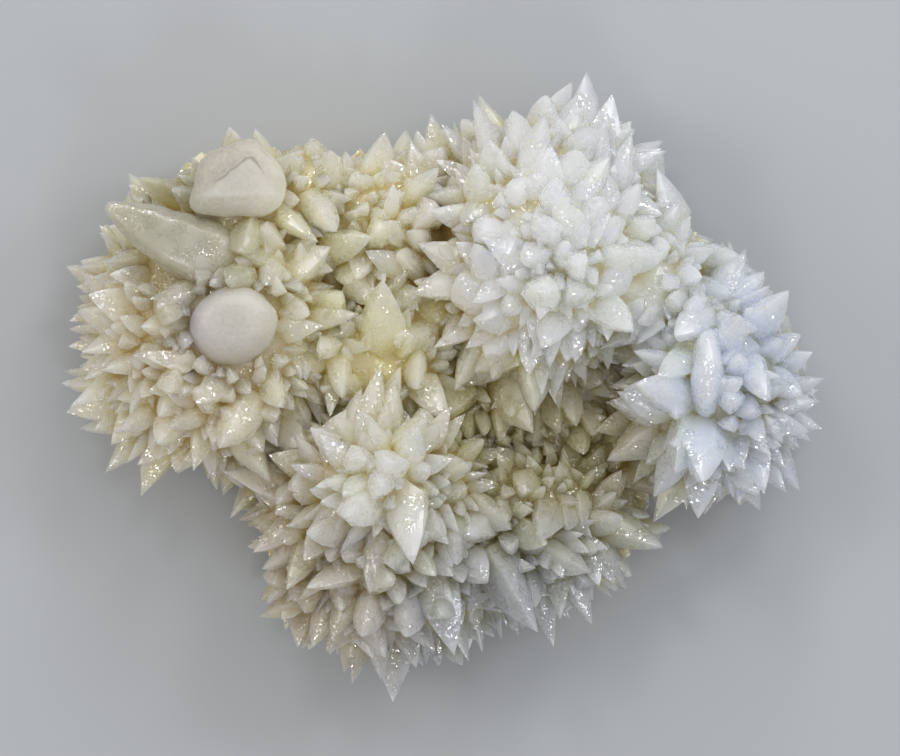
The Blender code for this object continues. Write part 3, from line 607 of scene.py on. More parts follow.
# %% Faces of a tube, and meshes that remember how they grew
def tube_faces(rings, corners):
    """Faces of rings joined into a tube, with a fan to the foot and one to the tip."""
    k = np.arange(corners)
    after = (k + 1) % corners
    low = corners * np.arange(rings - 1)[:, None]
    walls = np.stack([low + k, low + after, low + corners + after, low + corners + k], axis=-1)
    foot = np.full(corners, rings * corners)
    top = (rings - 1) * corners
    fans = [np.column_stack([foot, after, k]), np.column_stack([top + k, top + after, foot + 1])]
    return walls.reshape(-1, 4).tolist() + fans[0].tolist() + fans[1].tolist()


def remember(mesh, grown):
    """Write one row of values for each point onto the corners of the faces."""
    if "grown" not in mesh.attributes:
        mesh.attributes.new("grown", "FLOAT_VECTOR", "CORNER")
    corners = np.empty(len(mesh.loops), np.int32)
    mesh.loops.foreach_get("vertex_index", corners)
    values = np.broadcast_to(grown, (len(mesh.vertices), 3))[corners]
    mesh.attributes["grown"].data.foreach_set("vector", values.ravel().astype(np.float32))


def mesh_of(name, points, faces, grown):
    """A mesh from points in millimetres, with the attribute grown on its corners.

    Its three values are the share of the way from girdle to tip, 1 on a ridge and 0 in the middle of
    a face, and a number for each crystal by chance, from 0 (clear) to 1 (milky). The spear has 1.2
    there and the smooth worn pillows 2.
    """
    mesh = bpy.data.meshes.new(name)
    mesh.from_pydata((np.asarray(points) * MM).tolist(), [], faces)
    remember(mesh, grown)
    return mesh


def tube(name, rings, ends, grown):
    """An object from rings of points, an array (rings, corners, 3), and the two points that close it."""
    rows = np.concatenate([rings.reshape(-1, 3), ends])
    mesh = mesh_of(name, rows, tube_faces(*rings.shape[:2]), grown)
    return bpy.data.objects.new(name, mesh)


# %% Make the crystals
LARGE_WIDTH = 7.0
LARGE_STEPS = np.array([0.0, 0.33, 0.63, 0.87])
SMALL_STEPS = np.array([0.0, 0.45, 0.8])
FOOT_SHARE = -0.7
EDGE, FACE, SMALL_EDGE, TIP_EDGE = 1.0, 0.0, 0.6, 0.5


def crystals(tips, girdles, widths, steps, bulging, rng):
    """One object for each crystal, all with the faces of one template."""
    points = crystal_points(tips, girdles, widths, steps, bulging, rng) * MM
    corners = 12 if bulging else 6
    share = np.append(np.repeat(steps, corners), (FOOT_SHARE, 1.0))
    round_ring = np.tile((EDGE, FACE), 6) if bulging else np.full(6, SMALL_EDGE)
    ridge = np.append(np.tile(round_ring, len(steps)), (FACE, TIP_EDGE))
    template = mesh_of("crystal", points[0], tube_faces(len(steps), corners), np.zeros(3))
    made = []
    for place, chance in zip(points, rng.random(len(tips))):
        mesh = template.copy()
        mesh.vertices.foreach_set("co", place.ravel())
        remember(mesh, np.column_stack([share, ridge, np.full(len(share), chance)]))
        made.append(bpy.data.objects.new("crystal", mesh))
    return made


rng = np.random.default_rng(11)
large = widths > LARGE_WIDTH
parts = crystals(tips[large], girdles[large], widths[large], LARGE_STEPS, True, rng)
parts += crystals(tips[~large], girdles[~large], widths[~large], SMALL_STEPS, False, rng)
print("large", large.sum(), "small", (~large).sum())

# %% [markdown]
# ## The mass
#
# The lobes themselves show only in a few gaps, so each is an ellipsoid with a gently uneven surface. A
# sphere with a Displace modifier would do too, but the formula is as short and gives closed poles. On
# the right lobe a smooth white body lies between the crystals, and three rounded bodies swell up in the
# middle. They are small lobes of their own.

# %% Uneven ellipsoids
LOBE_GROWN = (-0.6, 0, 0.5)
LOBE_MESH = (18, 32)  # rings and corners
BODY_MESH = (16, 32)
BODY_UNEVEN = (1.2, 11.0)
WHITE_BODY = (88, 5, 62, 6.5, 15.5, 16)  # centre x, y, z and radii x, y, z
MIDDLE_BODIES = [(-20, 5, 36, 11, 10, 15), (-2, 24, 30, 12, 12, 17), (-35, 38, 30, 10, 10, 15)]


def ball(place, mesh_size, uneven, seed, grown):
    """A closed uneven ellipsoid: c + r * (cos v cos u, cos v sin u, sin v), pushed out by waves."""
    rings, corners = mesh_size
    v = np.linspace(-math.pi / 2, math.pi / 2, rings + 2)
    u = np.arange(corners) * 2 * math.pi / corners
    u, v = np.meshgrid(u, v)
    facing = np.stack([np.cos(v) * np.cos(u), np.cos(v) * np.sin(u), np.sin(v)], axis=-1)
    reach = np.array(place[3:], float) * np.ones_like(facing)
    reach[..., 2] = np.where(facing[..., 2] > 0, place[5], min(place[5], BELLY))
    points = np.array(place[:3]) + reach * facing
    points += facing * (uneven[0] * waves(points, uneven[1], seed))[..., None]
    return tube("lobe", points[1:-1], points[[0, -1], 0], grown)


for seed, lobe in enumerate(LOBES):
    swollen = (*lobe[:3], *(lobe[3:] + SWELL))
    parts.append(ball(swollen, LOBE_MESH, (1.6, 12.0), seed, LOBE_GROWN))
parts.append(ball(WHITE_BODY, BODY_MESH, BODY_UNEVEN, 41, (0.2, 0, 0.95)))
for seed, body in enumerate(MIDDLE_BODIES):
    parts.append(ball(body, BODY_MESH, BODY_UNEVEN, seed, (-0.2, 0, 0.3)))
print("closed parts:", len(parts))

# %% [markdown]
# ## The broken crystal and the white knob
#
# Two thick crystals on the left end in smooth pillows. One was broken off and healed over, with the
# triangle of the break still showing in the middle of its end. The other dissolved to a plain dome.
# Sculpting would be the common way. A formula is easier to change: walls rise from a narrow foot round
# an outline, and close over the end ring by ring.

# %% A pillow over an outline
PILLOW_CORNERS = 60
PILLOW_WAVES = (0.4, 8.0)  # height and size of the surface's unevenness
PILLOW_GROWN = (0.8, 0.0, 2.0)
PILLOW_SHARES = [1.0, 0.985, 0.96, 0.92, 0.87, 0.81, 0.74, 0.67,
                 0.6, 0.53, 0.46, 0.38, 0.3, 0.22, 0.14, 0.07]


def reach_round(outline, angle, weight):
    """Distance of an outline from its middle at each angle, evened out over three neighbours.

    reach = (before + weight * own + after) / (weight + 2)
    """
    at = np.arctan2(outline[:, 1], outline[:, 0])
    order = at.argsort()
    reach = np.interp(angle, at[order], np.hypot(*outline.T)[order], period=2 * math.pi)
    return (np.roll(reach, 1) + weight * reach + np.roll(reach, -1)) / (weight + 2)


def pillow(outline, centre, walls, drop, relief):
    """Rings of the outline's radius times a share, at heights given for the walls and worked out on top.

    On top the height is end - drop * share^5 + relief(x, y), and waves that grow with the share uneven it.
    """
    angle = np.arange(PILLOW_CORNERS) * 2 * math.pi / PILLOW_CORNERS - math.pi
    radius = reach_round(np.array(outline, float) - centre[:2], angle, 2)
    walls = np.array(walls)
    share = np.append(walls[:, 1], PILLOW_SHARES)[:, None]
    x = centre[0] + radius * share * np.cos(angle)
    y = centre[1] + radius * share * np.sin(angle)
    top = centre[2] - drop * np.array(PILLOW_SHARES)[:, None] ** 5 + relief(x, y)[len(walls):]
    z = np.concatenate([np.broadcast_to(walls[:, :1], (len(walls), PILLOW_CORNERS)), top])
    points = np.stack([x, y, z], axis=-1)
    points += (PILLOW_WAVES[0] * share * waves(points, PILLOW_WAVES[1], 9))[..., None]
    middle = np.array(centre[:2])
    ends = np.array([(*middle, walls[0, 0] - 2), (*middle, centre[2] + relief(*middle[:, None])[0])])
    return tube("pillow", points, ends, PILLOW_GROWN)


# %% The healed break and its pillow
BREAK_LEFT = (-76.4, 65.1, -0.63, 0.78)  # a point on the triangle's upper left side, and outwards
BREAK_RIGHT = (-57.0, 68.0, 0.87, 0.5)  # the same for its right side
BREAK_FOOT = 62.8  # its lower side runs at this y
BREAK_DEPTH = 0.35
BREAK_OUTLINE = [(-82.5, 58.5), (-81, 67), (-79, 74.5), (-70, 79), (-61, 81.5), (-57, 77), (-51.5, 69.5),
                 (-52, 61), (-55, 58), (-66.5, 56.5), (-75, 57)]
BREAK_WALLS = [(40, 0.55), (47, 0.75), (54, 0.94), (60, 1.0), (64, 1.01)]  # height, share


def past(side, x, y):
    """How far a place lies beyond a side of the triangle."""
    return (x - side[0]) * side[2] + (y - side[1]) * side[3]


def break_relief(x, y):
    """The triangle lies a third of a millimetre deep, in an end that falls to the lower left."""
    farthest = np.max([past(BREAK_LEFT, x, y), past(BREAK_RIGHT, x, y), BREAK_FOOT - y], axis=0)
    inside = 1 / (1 + np.exp(np.clip(farthest * 6, -30, 30)))
    return -BREAK_DEPTH * inside + 0.10 * (y - 68) + 0.05 * (x + 66)


parts.append(pillow(BREAK_OUTLINE, (-66.5, 68.0, 72.0), BREAK_WALLS, 3.8, break_relief))

# %% The knob
KNOB_OUTLINE = [(-82.5, 20), (-80.5, 26), (-77, 29.5), (-71, 33), (-66, 33.2), (-61, 32), (-57.5, 29),
                (-54, 24.5), (-54, 20), (-56, 15), (-60, 10.5), (-67, 7.6), (-74, 8), (-78.5, 11),
                (-81.5, 15)]
KNOB_WALLS = [(44, 0.7), (52, 0.86), (58, 0.95), (63, 1.0)]
KNOB_MIDDLE = 22.0


def knob_relief(x, y):
    """The dome falls off towards its lower side, the more the farther down."""
    up = y - KNOB_MIDDLE
    return 0.16 * up - 0.012 * np.minimum(up, 0) ** 2


parts.append(pillow(KNOB_OUTLINE, (-68.5, 21.5, 77.5), KNOB_WALLS, 7.5, knob_relief))
print("closed parts:", len(parts))

# %% [markdown]
# ## The spear
#
# One large crystal leans out over the left edge, with a broad upper face, a narrow one on each side of
# it, and a point that has been knocked blunt. It is one polygon carried along a slightly bent axis,
# which is what a Bezier curve with a bevel object would do, here with corners that soften a little.

# %% A polygon carried along a bent axis
SPEAR_TIP = np.array((-110.0, 59.6, 72.0))
SPEAR_ROOT = np.array((-56.0, 33.0, 50.0))
SPEAR_BEND = np.array((-84.0, 46.5, 64.5))  # the axis goes through this point half way
SPEAR_AT = np.array((0.0, 0.012, 0.05, 0.1, 0.2, 0.33, 0.5, 0.65, 0.8, 1.0))  # share from tip to root
SPEAR_WIDTHS = np.array((2.2, 4.2, 6.6, 9.2, 14.2, 18.6, 22.5, 25.5, 28.0, 30.0))
SPEAR_SECTION = [(-1.0, -0.1), (-0.66, 0.55), (0.62, 0.62), (1.02, -0.1), (0.5, -0.75), (-0.5, -0.75)]
SPEAR_RINGS = 34
SPEAR_CORNERS = 36
SPEAR_SOFTNESS = 9  # weight of a corner against its two neighbours
SPEAR_WAVES = (0.45, 9.0)
SPEAR_CHANCE = 1.2  # marks its rugged faces for the material
TIP_SHARE = 0.9


def spear_outline():
    """The spear's section as an outline, with twenty points along each straight side."""
    corners = np.array(SPEAR_SECTION)
    corners = corners[np.arctan2(corners[:, 1], corners[:, 0]).argsort()][:, None]
    share = np.linspace(0, 1, 20, endpoint=False)[:, None]
    return (corners * (1 - share) + np.roll(corners, -1, axis=0) * share).reshape(-1, 2)


def spear():
    """Rings along the axis (1 - t)^2 tip + 2 t (1 - t) middle + t^2 root, from the root to the tip.

    A ring's corner at angle a is the axis point + (side cos a + up sin a) * width / 2 * reach(a),
    and waves uneven it.
    """
    t = np.linspace(1, 0.006, SPEAR_RINGS)
    middle = 2 * SPEAR_BEND - (SPEAR_TIP + SPEAR_ROOT) / 2
    centre = np.outer((1 - t) ** 2, SPEAR_TIP) + np.outer(2 * t * (1 - t), middle)
    centre += np.outer(t ** 2, SPEAR_ROOT)
    axis = unit(SPEAR_TIP - SPEAR_ROOT)
    side = unit(np.cross((0, 0, 1), axis))
    up = np.cross(axis, side)
    angle = np.arange(SPEAR_CORNERS) * 2 * math.pi / SPEAR_CORNERS
    reach = reach_round(spear_outline(), angle, SPEAR_SOFTNESS)
    radius = np.interp(t, SPEAR_AT, SPEAR_WIDTHS)[:, None] / 2 * reach
    around = side * np.cos(angle)[:, None] + up * np.sin(angle)[:, None]
    points = centre[:, None] + around * radius[..., None]
    uneven = SPEAR_WAVES[0] * waves(points, SPEAR_WAVES[1], 3) * np.minimum(radius / 5, 1)
    points += around * uneven[..., None]
    ridge = np.tile(np.clip((reach - 0.85) / 0.15, 0, 1), len(t))
    share = np.append(np.repeat(TIP_SHARE - t, SPEAR_CORNERS), (TIP_SHARE - 1, TIP_SHARE))
    grown = np.column_stack([share, np.append(ridge, (0, 0.5)), np.full(len(share), SPEAR_CHANCE)])
    return tube("spear", points, [SPEAR_ROOT - axis, SPEAR_TIP], grown)


parts.append(spear())
print("closed parts:", len(parts))

# %% [markdown]
# ## Growing together
#
# Crystals that grew together have no walls inside each other, and light wanders through them as one
# body. A voxel remesh would join them, but it rounds every edge. So everything is joined by a Boolean,
# cut off below, and the pockets that close in between crystals are dropped. One closed surface is left.

# %% One body
def joined(first, others, name, operation):
    """One object from a Boolean of the first object with all of the others."""
    helpers = bpy.data.collections.new(name)
    bpy.context.scene.collection.children.link(helpers)
    bpy.context.scene.collection.objects.link(first)
    for other in others:
        helpers.objects.link(other)
    boolean = first.modifiers.new(name, "BOOLEAN")
    boolean.operation = operation
    boolean.operand_type = "COLLECTION"
    boolean.collection = helpers
    boolean.solver = "MANIFOLD"
    graph = bpy.context.evaluated_depsgraph_get()
    mesh = bpy.data.meshes.new_from_object(first.evaluated_get(graph))
    for other in others + [first]:
        bpy.data.objects.remove(other, do_unlink=True)
    bpy.data.collections.remove(helpers)
    return bpy.data.objects.new(name, mesh)


whole = joined(parts[-1], parts[:-1], "cluster", "UNION")
print("joined:", len(whole.data.polygons), "faces")

# %% Cut off below
BLOCK_HALF = (140, 120)
BLOCK_POINTS = (71, 61)
BLOCK_DEPTH = 60
STEP_WAVES = (1.6, 45.0)  # height and size of the waves that the steps are cut from
STEPS = 4  # levels between 0 and 1 mm
CUT_GROWN = (-0.6, 0, 0.5)


def below():
    """A block under the cluster whose top is z = 0 with shallow steps, as cleavage leaves them.

    The top is a grid of heights: waves, rounded down to steps of a third of a millimetre, never over 1.
    """
    x, y = (np.linspace(-half, half, count) for half, count in zip(BLOCK_HALF, BLOCK_POINTS))
    x, y = np.meshgrid(x, y, indexing="ij")
    top = np.stack([x, y, np.zeros_like(x)], axis=-1)
    level = np.clip(waves(top, STEP_WAVES[1], 21) * STEP_WAVES[0], 0, 0.99)
    top[..., 2] = np.clip(np.floor(level * STEPS) / (STEPS - 1), 0, 1)
    bottom = top * [1, 1, 0] - [0, 0, BLOCK_DEPTH]
    n = x.size
    grid = np.arange(n).reshape(x.shape)
    quads = np.stack([grid[:-1, :-1], grid[1:, :-1], grid[1:, 1:], grid[:-1, 1:]], axis=-1).reshape(-1, 4)
    ring = np.concatenate([grid[:-1, 0], grid[-1, :-1], grid[:0:-1, -1], grid[0, :0:-1]])
    after = np.roll(ring, -1)
    walls = np.column_stack([ring + n, after + n, after, ring])
    faces = np.concatenate([quads, quads[:, ::-1] + n, walls])
    rows = np.concatenate([top.reshape(-1, 3), bottom.reshape(-1, 3)])
    return bpy.data.objects.new("below", mesh_of("below", rows, faces.tolist(), CUT_GROWN))


cluster = joined(whole, [below()], "calcite_growth", "DIFFERENCE")
print("cut:", len(cluster.data.vertices), "points,", len(cluster.data.polygons), "faces")

# %% Keep the outer surface and shade it
SHARP_ANGLE = 48.0


def read(items, name, width, kind):
    """One value or row of each item of a mesh, as an array."""
    values = np.empty(len(items) * width, kind)
    items.foreach_get(name, values)
    return values.reshape(-1, width) if width > 1 else values


def outer_surface(mesh):
    """The mesh without its inner pockets: points take the lowest number in reach until none changes."""
    edges = read(mesh.edges, "vertices", 2, np.int32)
    label = np.arange(len(mesh.vertices))
    while True:
        new = label.copy()
        for end in (0, 1):
            np.minimum.at(new, edges[:, end], label[edges].min(axis=1))
        new = new[new]
        if (new == label).all():
            break
        label = new
    names, counts = np.unique(label, return_counts=True)
    kept = label == names[counts.argmax()]
    corners = read(mesh.loops, "vertex_index", 1, np.int32)
    sizes = read(mesh.polygons, "loop_total", 1, np.int32)
    starts = np.cumsum(sizes) - sizes
    number = np.cumsum(kept) - 1
    faces = [number[corners[a:a + n]].tolist() for a, n in zip(starts, sizes) if kept[corners[a]]]
    outer = bpy.data.meshes.new(mesh.name)
    outer.from_pydata(read(mesh.vertices, "co", 3, float)[kept].tolist(), [], faces)
    grown = read(mesh.attributes["grown"].data, "vector", 3, np.float32)[kept[corners]]
    outer.attributes.new("grown", "FLOAT_VECTOR", "CORNER").data.foreach_set("vector", grown.ravel())
    print("pockets dropped:", len(names) - 1)
    return outer


cluster.data = outer_surface(cluster.data)
cluster.data.shade_smooth()
cluster.data.set_sharp_from_angle(angle=math.radians(SHARP_ANGLE))
bpy.context.scene.collection.objects.link(cluster)
cluster.data.calc_loop_triangles()
print("triangles:", len(cluster.data.loop_triangles))

# %% [markdown]
# ## Tints
#
# Calcite is white, and what tints it is what it grew over. This one is creamy on the left and cool white on
# the right, partly its own colour and partly painted warm and cool light. Deep between the lobes and on
# some low slopes it is darker and yellowish green, which is painted shade. The tints could be painted by
# hand.
# Here they are a few soft spots of colour and a depth worked out from the mesh, written to an attribute
# that the material reads.

# %% How deep each point lies
CELL = 2.0
SKY_CELLS = (150, 130)  # a grid of cells, centred on the cluster
SKY_SPREAD = 10


def spread(field, times):
    """A grid smoothed by averaging each cell with its neighbours, many times."""
    for _ in range(times):
        for axis in (0, 1):
            field = (np.roll(field, 1, axis) + 2 * field + np.roll(field, -1, axis)) / 4
    return field


def depth_below_sky(points):
    """How far each point lies below the smoothed top of the cluster round it, in millimetres."""
    half = np.array(SKY_CELLS) * CELL / 2
    column, row = ((points[:, :2] + half) / CELL).astype(int).T
    top = np.zeros(SKY_CELLS)
    np.maximum.at(top, (column, row), points[:, 2])
    filled = spread(top, SKY_SPREAD) / np.maximum(spread((top > 0).astype(float), SKY_SPREAD), 1e-3)
    return filled[column, row] - points[:, 2]


points = read(cluster.data.vertices, "co", 3, float) / MM
depth = depth_below_sky(points)
print("deepest point, mm below the sky:", round(depth.max()))

# %% A tint for every point of the surface
TINTS = [  # middle x, y, z, reach, and the colour there
    # left: cream, partly its own colour and partly painted warm light from the left
    (-100, 10, 30, 30, (0.95, 0.84, 0.62)),  # left: cream with a touch of pink
    (-86, 50, 68, 14, (0.30, 0.295, 0.205)),  # the spear: greenish grey
    (-66, 69, 72, 11, (0.31, 0.27, 0.215)),  # the broken crystal: cream
    (-68, 20, 72, 12, (0.36, 0.34, 0.345)),  # the knob: white
    (-81, 21, 71, 5, (0.50, 0.48, 0.59)),  # its left edge: faint violet
    (-45, 45, 48, 18, (0.90, 0.84, 0.59)),  # green shoulder
    (-20, 60, 50, 20, (0.93, 0.86, 0.66)),  # upper middle: cream
    (-15, 15, 45, 22, (0.93, 0.86, 0.58)),  # middle: yellowish green
    (2, 51, 42, 10, (0.52, 0.38, 0.22)),  # brown wall of the valley
    (38, 50, 75, 26, (0.945, 0.955, 0.985)),  # upper right: cool white
    # painted light: a whiter spot on the lower side of the upper right lobe, which lies in shade
    (30, 18, 60, 16, (0.995, 0.995, 0.998)),  # its lower side
    (12, 70, 60, 16, (0.95, 0.915, 0.81)),  # its left side: cream
    (66, 34, 55, 15, (0.99, 0.985, 0.89)),  # saddle: yellow green
    # right: cool white, partly its own colour and partly painted cool light from the upper right
    (92, 5, 60, 28, (0.68, 0.74, 0.88)),  # right: cool white
    # painted shade: dark olive spots in the deep valley below the saddle and at its end
    (58, -12, 32, 15, (0.42, 0.32, 0.05)),  # below the saddle
    (13, -11, 35, 10, (0.56, 0.45, 0.16)),  # the valley's end
    (-22, -30, 75, 20, (0.88, 0.86, 0.79)),  # crown
    # painted shade: the lower left and lower right slopes darkened, as they face away from the light
    (-45, -50, 40, 22, (0.55, 0.455, 0.335)),  # lower left: cream
    (20, -65, 35, 24, (0.40, 0.43, 0.50)),  # lower right
    # painted shade: the low ground between the lobes darker and olive
    (25, -25, 32, 22, (0.60, 0.52, 0.24)),  # low ground
]
BACKGROUND = 1e-4  # keeps the weights above nothing far from every spot
# painted shade: the dark yellowish green that points deep between the lobes are moved towards
DEEP_SHADE = np.array((0.68, 0.55, 0.14))
DEEP_SHADE_SHARE = 0.8
HOLLOW_SHADE = (2.0, 16.0)  # depth where the painted shade starts, and how much deeper it is full
NORM_MM = 30.0  # about how many millimetres one lobe radius is
OPEN = (14.0, 0.15)  # distance from the lobes where the painted shade has gone, and what stays of it
WHITE = (0.78, 0.18)  # blue of a tint where it counts as white, and how much more is fully white
WHITE_LOSS = 0.5  # how much less painted shade a white tint takes

# tint = sum(w c) / sum(w) with w = exp(-distance^2 / (2 reach^2)), moved towards the painted shade colour
# in the hollows
spots = np.array([(*spot[:4], *spot[4]) for spot in TINTS])
distance = ((points[:, None] - spots[:, :3]) ** 2).sum(-1)
weight = np.exp(-distance / (2 * spots[:, 3] ** 2)) + BACKGROUND
tint = weight @ spots[:, 4:] / weight.sum(-1, keepdims=True)
away = (lobe_norms(points).min(axis=1) - 1) * NORM_MM
white = np.clip((tint[:, 2] - WHITE[0]) / WHITE[1], 0, 1)
# painted shade, the deeper below the smoothed top the more
hollow_shade = np.clip((depth - HOLLOW_SHADE[0]) / HOLLOW_SHADE[1], 0, 1) * np.clip(1 - away / OPEN[0], OPEN[1], 1)
hollow_shade *= 1 - WHITE_LOSS * white
colour = tint + (DEEP_SHADE - tint) * (DEEP_SHADE_SHARE * hollow_shade)[:, None]
colour = np.column_stack([colour, np.ones(len(colour))])
cluster.data.attributes.new("tint", "FLOAT_COLOR", "POINT").data.foreach_set("color", colour.ravel())
print("hollow points:", round(100 * (hollow_shade > 0.5).mean()), "%")

# %% [markdown]
# ## Milky calcite
#
# Calcite in the cluster is milky: light enters, is scattered inside and comes out again some way off. Glass
# would be too clear and plain white too chalky, so the material is Principled with full subsurface
# scattering by random walk. A clear crystal face shows as little flashes, where growth steps and tiny
# facets throw the light back. They are cells of a Voronoi texture, each with the normal tilted its own way.
#
# Node graphs are hard to read as links, so a small class lets them be written as sums and products.

# %% Shader maths as Python expressions
class Field:
    """An output of a shader node. Sums, differences and products of it become Math nodes."""

    def __init__(self, socket):
        self.socket = socket
        self.tree = socket.id_data

    @staticmethod
    def node(tree, kind, settings, inputs, output=0):
        """Add a node: its settings first, then numbers or Fields for its sockets. Returns one output."""
        made = tree.nodes.new(kind)
        for key, value in settings.items():
            setattr(made, key, value)
        for key, value in inputs.items():
            if isinstance(value, Field):
                tree.links.new(value.socket, made.inputs[key])
            else:
                made.inputs[key].default_value = value
        return Field(made.outputs[output])

    def maths(self, operation, first, second=0.0, third=0.0):
        """A Math node of this operation."""
        inputs = {0: first, 1: second, 2: third}
        return Field.node(self.tree, "ShaderNodeMath", {"operation": operation}, inputs)

    def part(self, axis):
        """One of the three parts of a vector or colour."""
        return Field.node(self.tree, "ShaderNodeSeparateXYZ", {}, {0: self}, axis)

    def __add__(self, other):
        return self.maths("ADD", self, other)

    def __mul__(self, other):
        return self.maths("MULTIPLY", self, other)

    def __sub__(self, other):
        return self.maths("SUBTRACT", self, other)

    def __rsub__(self, other):
        return self.maths("SUBTRACT", other, self)

    __radd__ = __add__
    __rmul__ = __mul__


# %% Noise, ramps and mixes
def noise(place, size_mm, detail=2.0):
    """Smooth random values from 0 to 1 with spots of about this size."""
    inputs = {"Vector": place, "Scale": 1 / (size_mm * MM), "Detail": detail}
    return Field.node(place.tree, "ShaderNodeTexNoise", {"noise_dimensions": "3D"}, inputs)


def ramp(field, low, high):
    """0 at low and 1 at high, smooth between, and the other way round where low is the higher one."""
    inputs = {0: field, 1: low, 2: high, 3: 0.0, 4: 1.0}
    return Field.node(field.tree, "ShaderNodeMapRange", {"interpolation_type": "SMOOTHSTEP"}, inputs)


def blend(factor, first, second, mode="MIX"):
    """Mix two colours."""
    settings = {"data_type": "RGBA", "blend_type": mode}
    return Field.node(factor.tree, "ShaderNodeMix", settings, {0: factor, 6: first, 7: second}, 2)


def vectors(operation, inputs):
    """A Vector Math node."""
    tree = inputs[0].tree
    return Field.node(tree, "ShaderNodeVectorMath", {"operation": operation}, inputs)


# %% What the material reads
material = bpy.data.materials.new("milky_calcite")
material.use_nodes = True
tree = material.node_tree
shader = tree.nodes["Principled BSDF"]
place = Field.node(tree, "ShaderNodeTexCoord", {}, {}, "Object")
tint = Field.node(tree, "ShaderNodeAttribute", {"attribute_name": "tint"}, {}, "Color")
grown = Field.node(tree, "ShaderNodeAttribute", {"attribute_name": "grown"}, {}, "Vector")
share, ridge, chance = (grown.part(axis) for axis in "XYZ")
worn = ramp(chance, 1.4, 1.6)
fresh = 1 - worn
rugged = ramp(chance, 1.0, 1.2) * fresh
print("nodes so far:", len(tree.nodes))

# %% [markdown]
# A crystal is greener where it is clear and whiter where it is milky, which differs from one to the next.
# Its tip is painted a little greyer and its foot darker and warmer: painted shade, where light leaves the
# tip and where the feet lie down between the crystals. White crystals show both less.

# %% Colour of the crystals
CLEAR_GREEN = (0.93, 0.95, 0.80, 1)
# painted shade: the grey of the tips and the warm dark of the feet
TIP_SHADE_GREY = (0.82, 0.82, 0.84, 1)
FOOT_SHADE_WARM = (0.86, 0.79, 0.50, 1)
MILK = (0.975, 0.972, 0.965, 1)
warm = ramp(tint.part("Z"), 0.97, 0.75)  # 0 where the tint is a cool white
clear = blend(ramp(chance, 0.45, 0.1) * 0.8, tint, CLEAR_GREEN, "MULTIPLY")
# painted shade: tips greyer where light passes out of them
tip = ramp(share, 0.0, 1.0) * (warm * 0.55 + 0.45) * fresh
clear = blend(tip, clear, TIP_SHADE_GREY, "MULTIPLY")
# painted shade: feet darker and warmer, down between the crystals
foot = ramp(share, 0.45, -0.2) * (warm * 0.75 + 0.08) * fresh
clear = blend(foot, clear, FOOT_SHADE_WARM, "MULTIPLY")
cloud = ramp(noise(place, 6.0, 4.0), 0.35, 0.7)
mottle = noise(place, 1.3, 3.0)
# ridge * 0.1 is a painted highlight along the ridges; the rest is the calcite's own milky whiteness
milk_and_ridge_sheen = cloud * 0.15 + ramp(chance, 0.6, 1.0) * 0.15 + ridge * 0.1 + mottle * 0.1 - 0.06
milk_and_ridge_sheen = milk_and_ridge_sheen * (1.0 - warm * 0.6)
base = blend(milk_and_ridge_sheen * fresh + mottle * (worn * 0.3 + 0.08), clear, MILK)
print("nodes with the colour:", len(tree.nodes))

# %% [markdown]
# The healed break shows as a dark crack along two sides of its triangle, darkened further as painted shade
# of the step there, and the triangle is a little whiter. Both are worked out from the same two lines as the
# relief.
# Brown specks sit on worn ends.

# %% The healed break
# dark line of the crack, also painted shade of the break's step
CRACK_AND_SHADE = (0.32, 0.30, 0.26, 1)
HEALED = (0.96, 0.96, 0.96, 1)
SPECK = (0.35, 0.27, 0.15, 1)
x, y = (place.part(axis) * (1 / MM) for axis in "XY")
wander = noise(place, 3.0) * 1.6 - 0.8
arch = x.maths("SMOOTH_MAX", past(BREAK_LEFT, x, y), past(BREAK_RIGHT, x, y), 5.0) + wander
line = ramp(arch.maths("ABSOLUTE", arch), 0.5, 0.15)
# the crack's dark line, darkened further as painted shade of the break's step
crack_and_shade = line * ramp(y, 65.5, 69.0) * ramp(x, -57.0, -60.0) * worn
inside = ramp(arch, 1.5, -1.5) * ramp(y, 62.0, 64.0) * worn
base = blend(inside * 0.25, base, HEALED)
base = blend(crack_and_shade * 0.75, base, CRACK_AND_SHADE)
specks = ramp(noise(place, 0.9, 1.0), 0.74, 0.78) * worn
base = blend(specks * 0.5, base, SPECK)
print("nodes with the break:", len(tree.nodes))

# %% [markdown]
# The relief is low waves everywhere. In patches and along edges, little facets throw the light back:
# smooth, a trace of metal to make them brighter, and each with its normal tilted at random. The patches
# are larger than a small crystal, so some crystals flash and others don't.

# %% Relief and flashes
FACETS = 1.43  # facets for each millimetre
SPEAR_FACETS = 1.0  # and how many more on the spear
TILT = 0.6
patches = ramp(noise(place, 7.0, 3.0), 0.45, 0.55)
edges = ramp(ridge, 0.6, 1.0) * ramp(noise(place, 5.0), 0.42, 0.55) * 0.3
flashing = patches.maths("MAXIMUM", patches, edges) * fresh
height = noise(place, 0.8) * (flashing * 0.12 + rugged * 0.08 + worn * 0.25 + 0.04)
height = height + noise(place, 3.5) * (0.45 - worn * 0.35)
grain = (rugged * SPEAR_FACETS + FACETS) * (1 / MM)
facet = Field.node(tree, "ShaderNodeTexVoronoi", {}, {"Vector": place, "Scale": grain}, "Color")
tilt = vectors("SUBTRACT", {0: facet, 1: (0.5, 0.5, 0.5)})
tilt = vectors("SCALE", {0: tilt, 3: flashing * (TILT - rugged * 0.25)})
facing = Field.node(tree, "ShaderNodeNewGeometry", {}, {}, "Normal")
facing = vectors("NORMALIZE", {0: vectors("ADD", {0: facing, 1: tilt})})
bump = {"Strength": 0.8, "Distance": 0.5 * MM, "Height": height, "Normal": facing}
normal = Field.node(tree, "ShaderNodeBump", {}, bump)
rough = (0.34 - flashing * 0.26) * fresh + worn * 0.5
print("nodes with the relief:", len(tree.nodes))

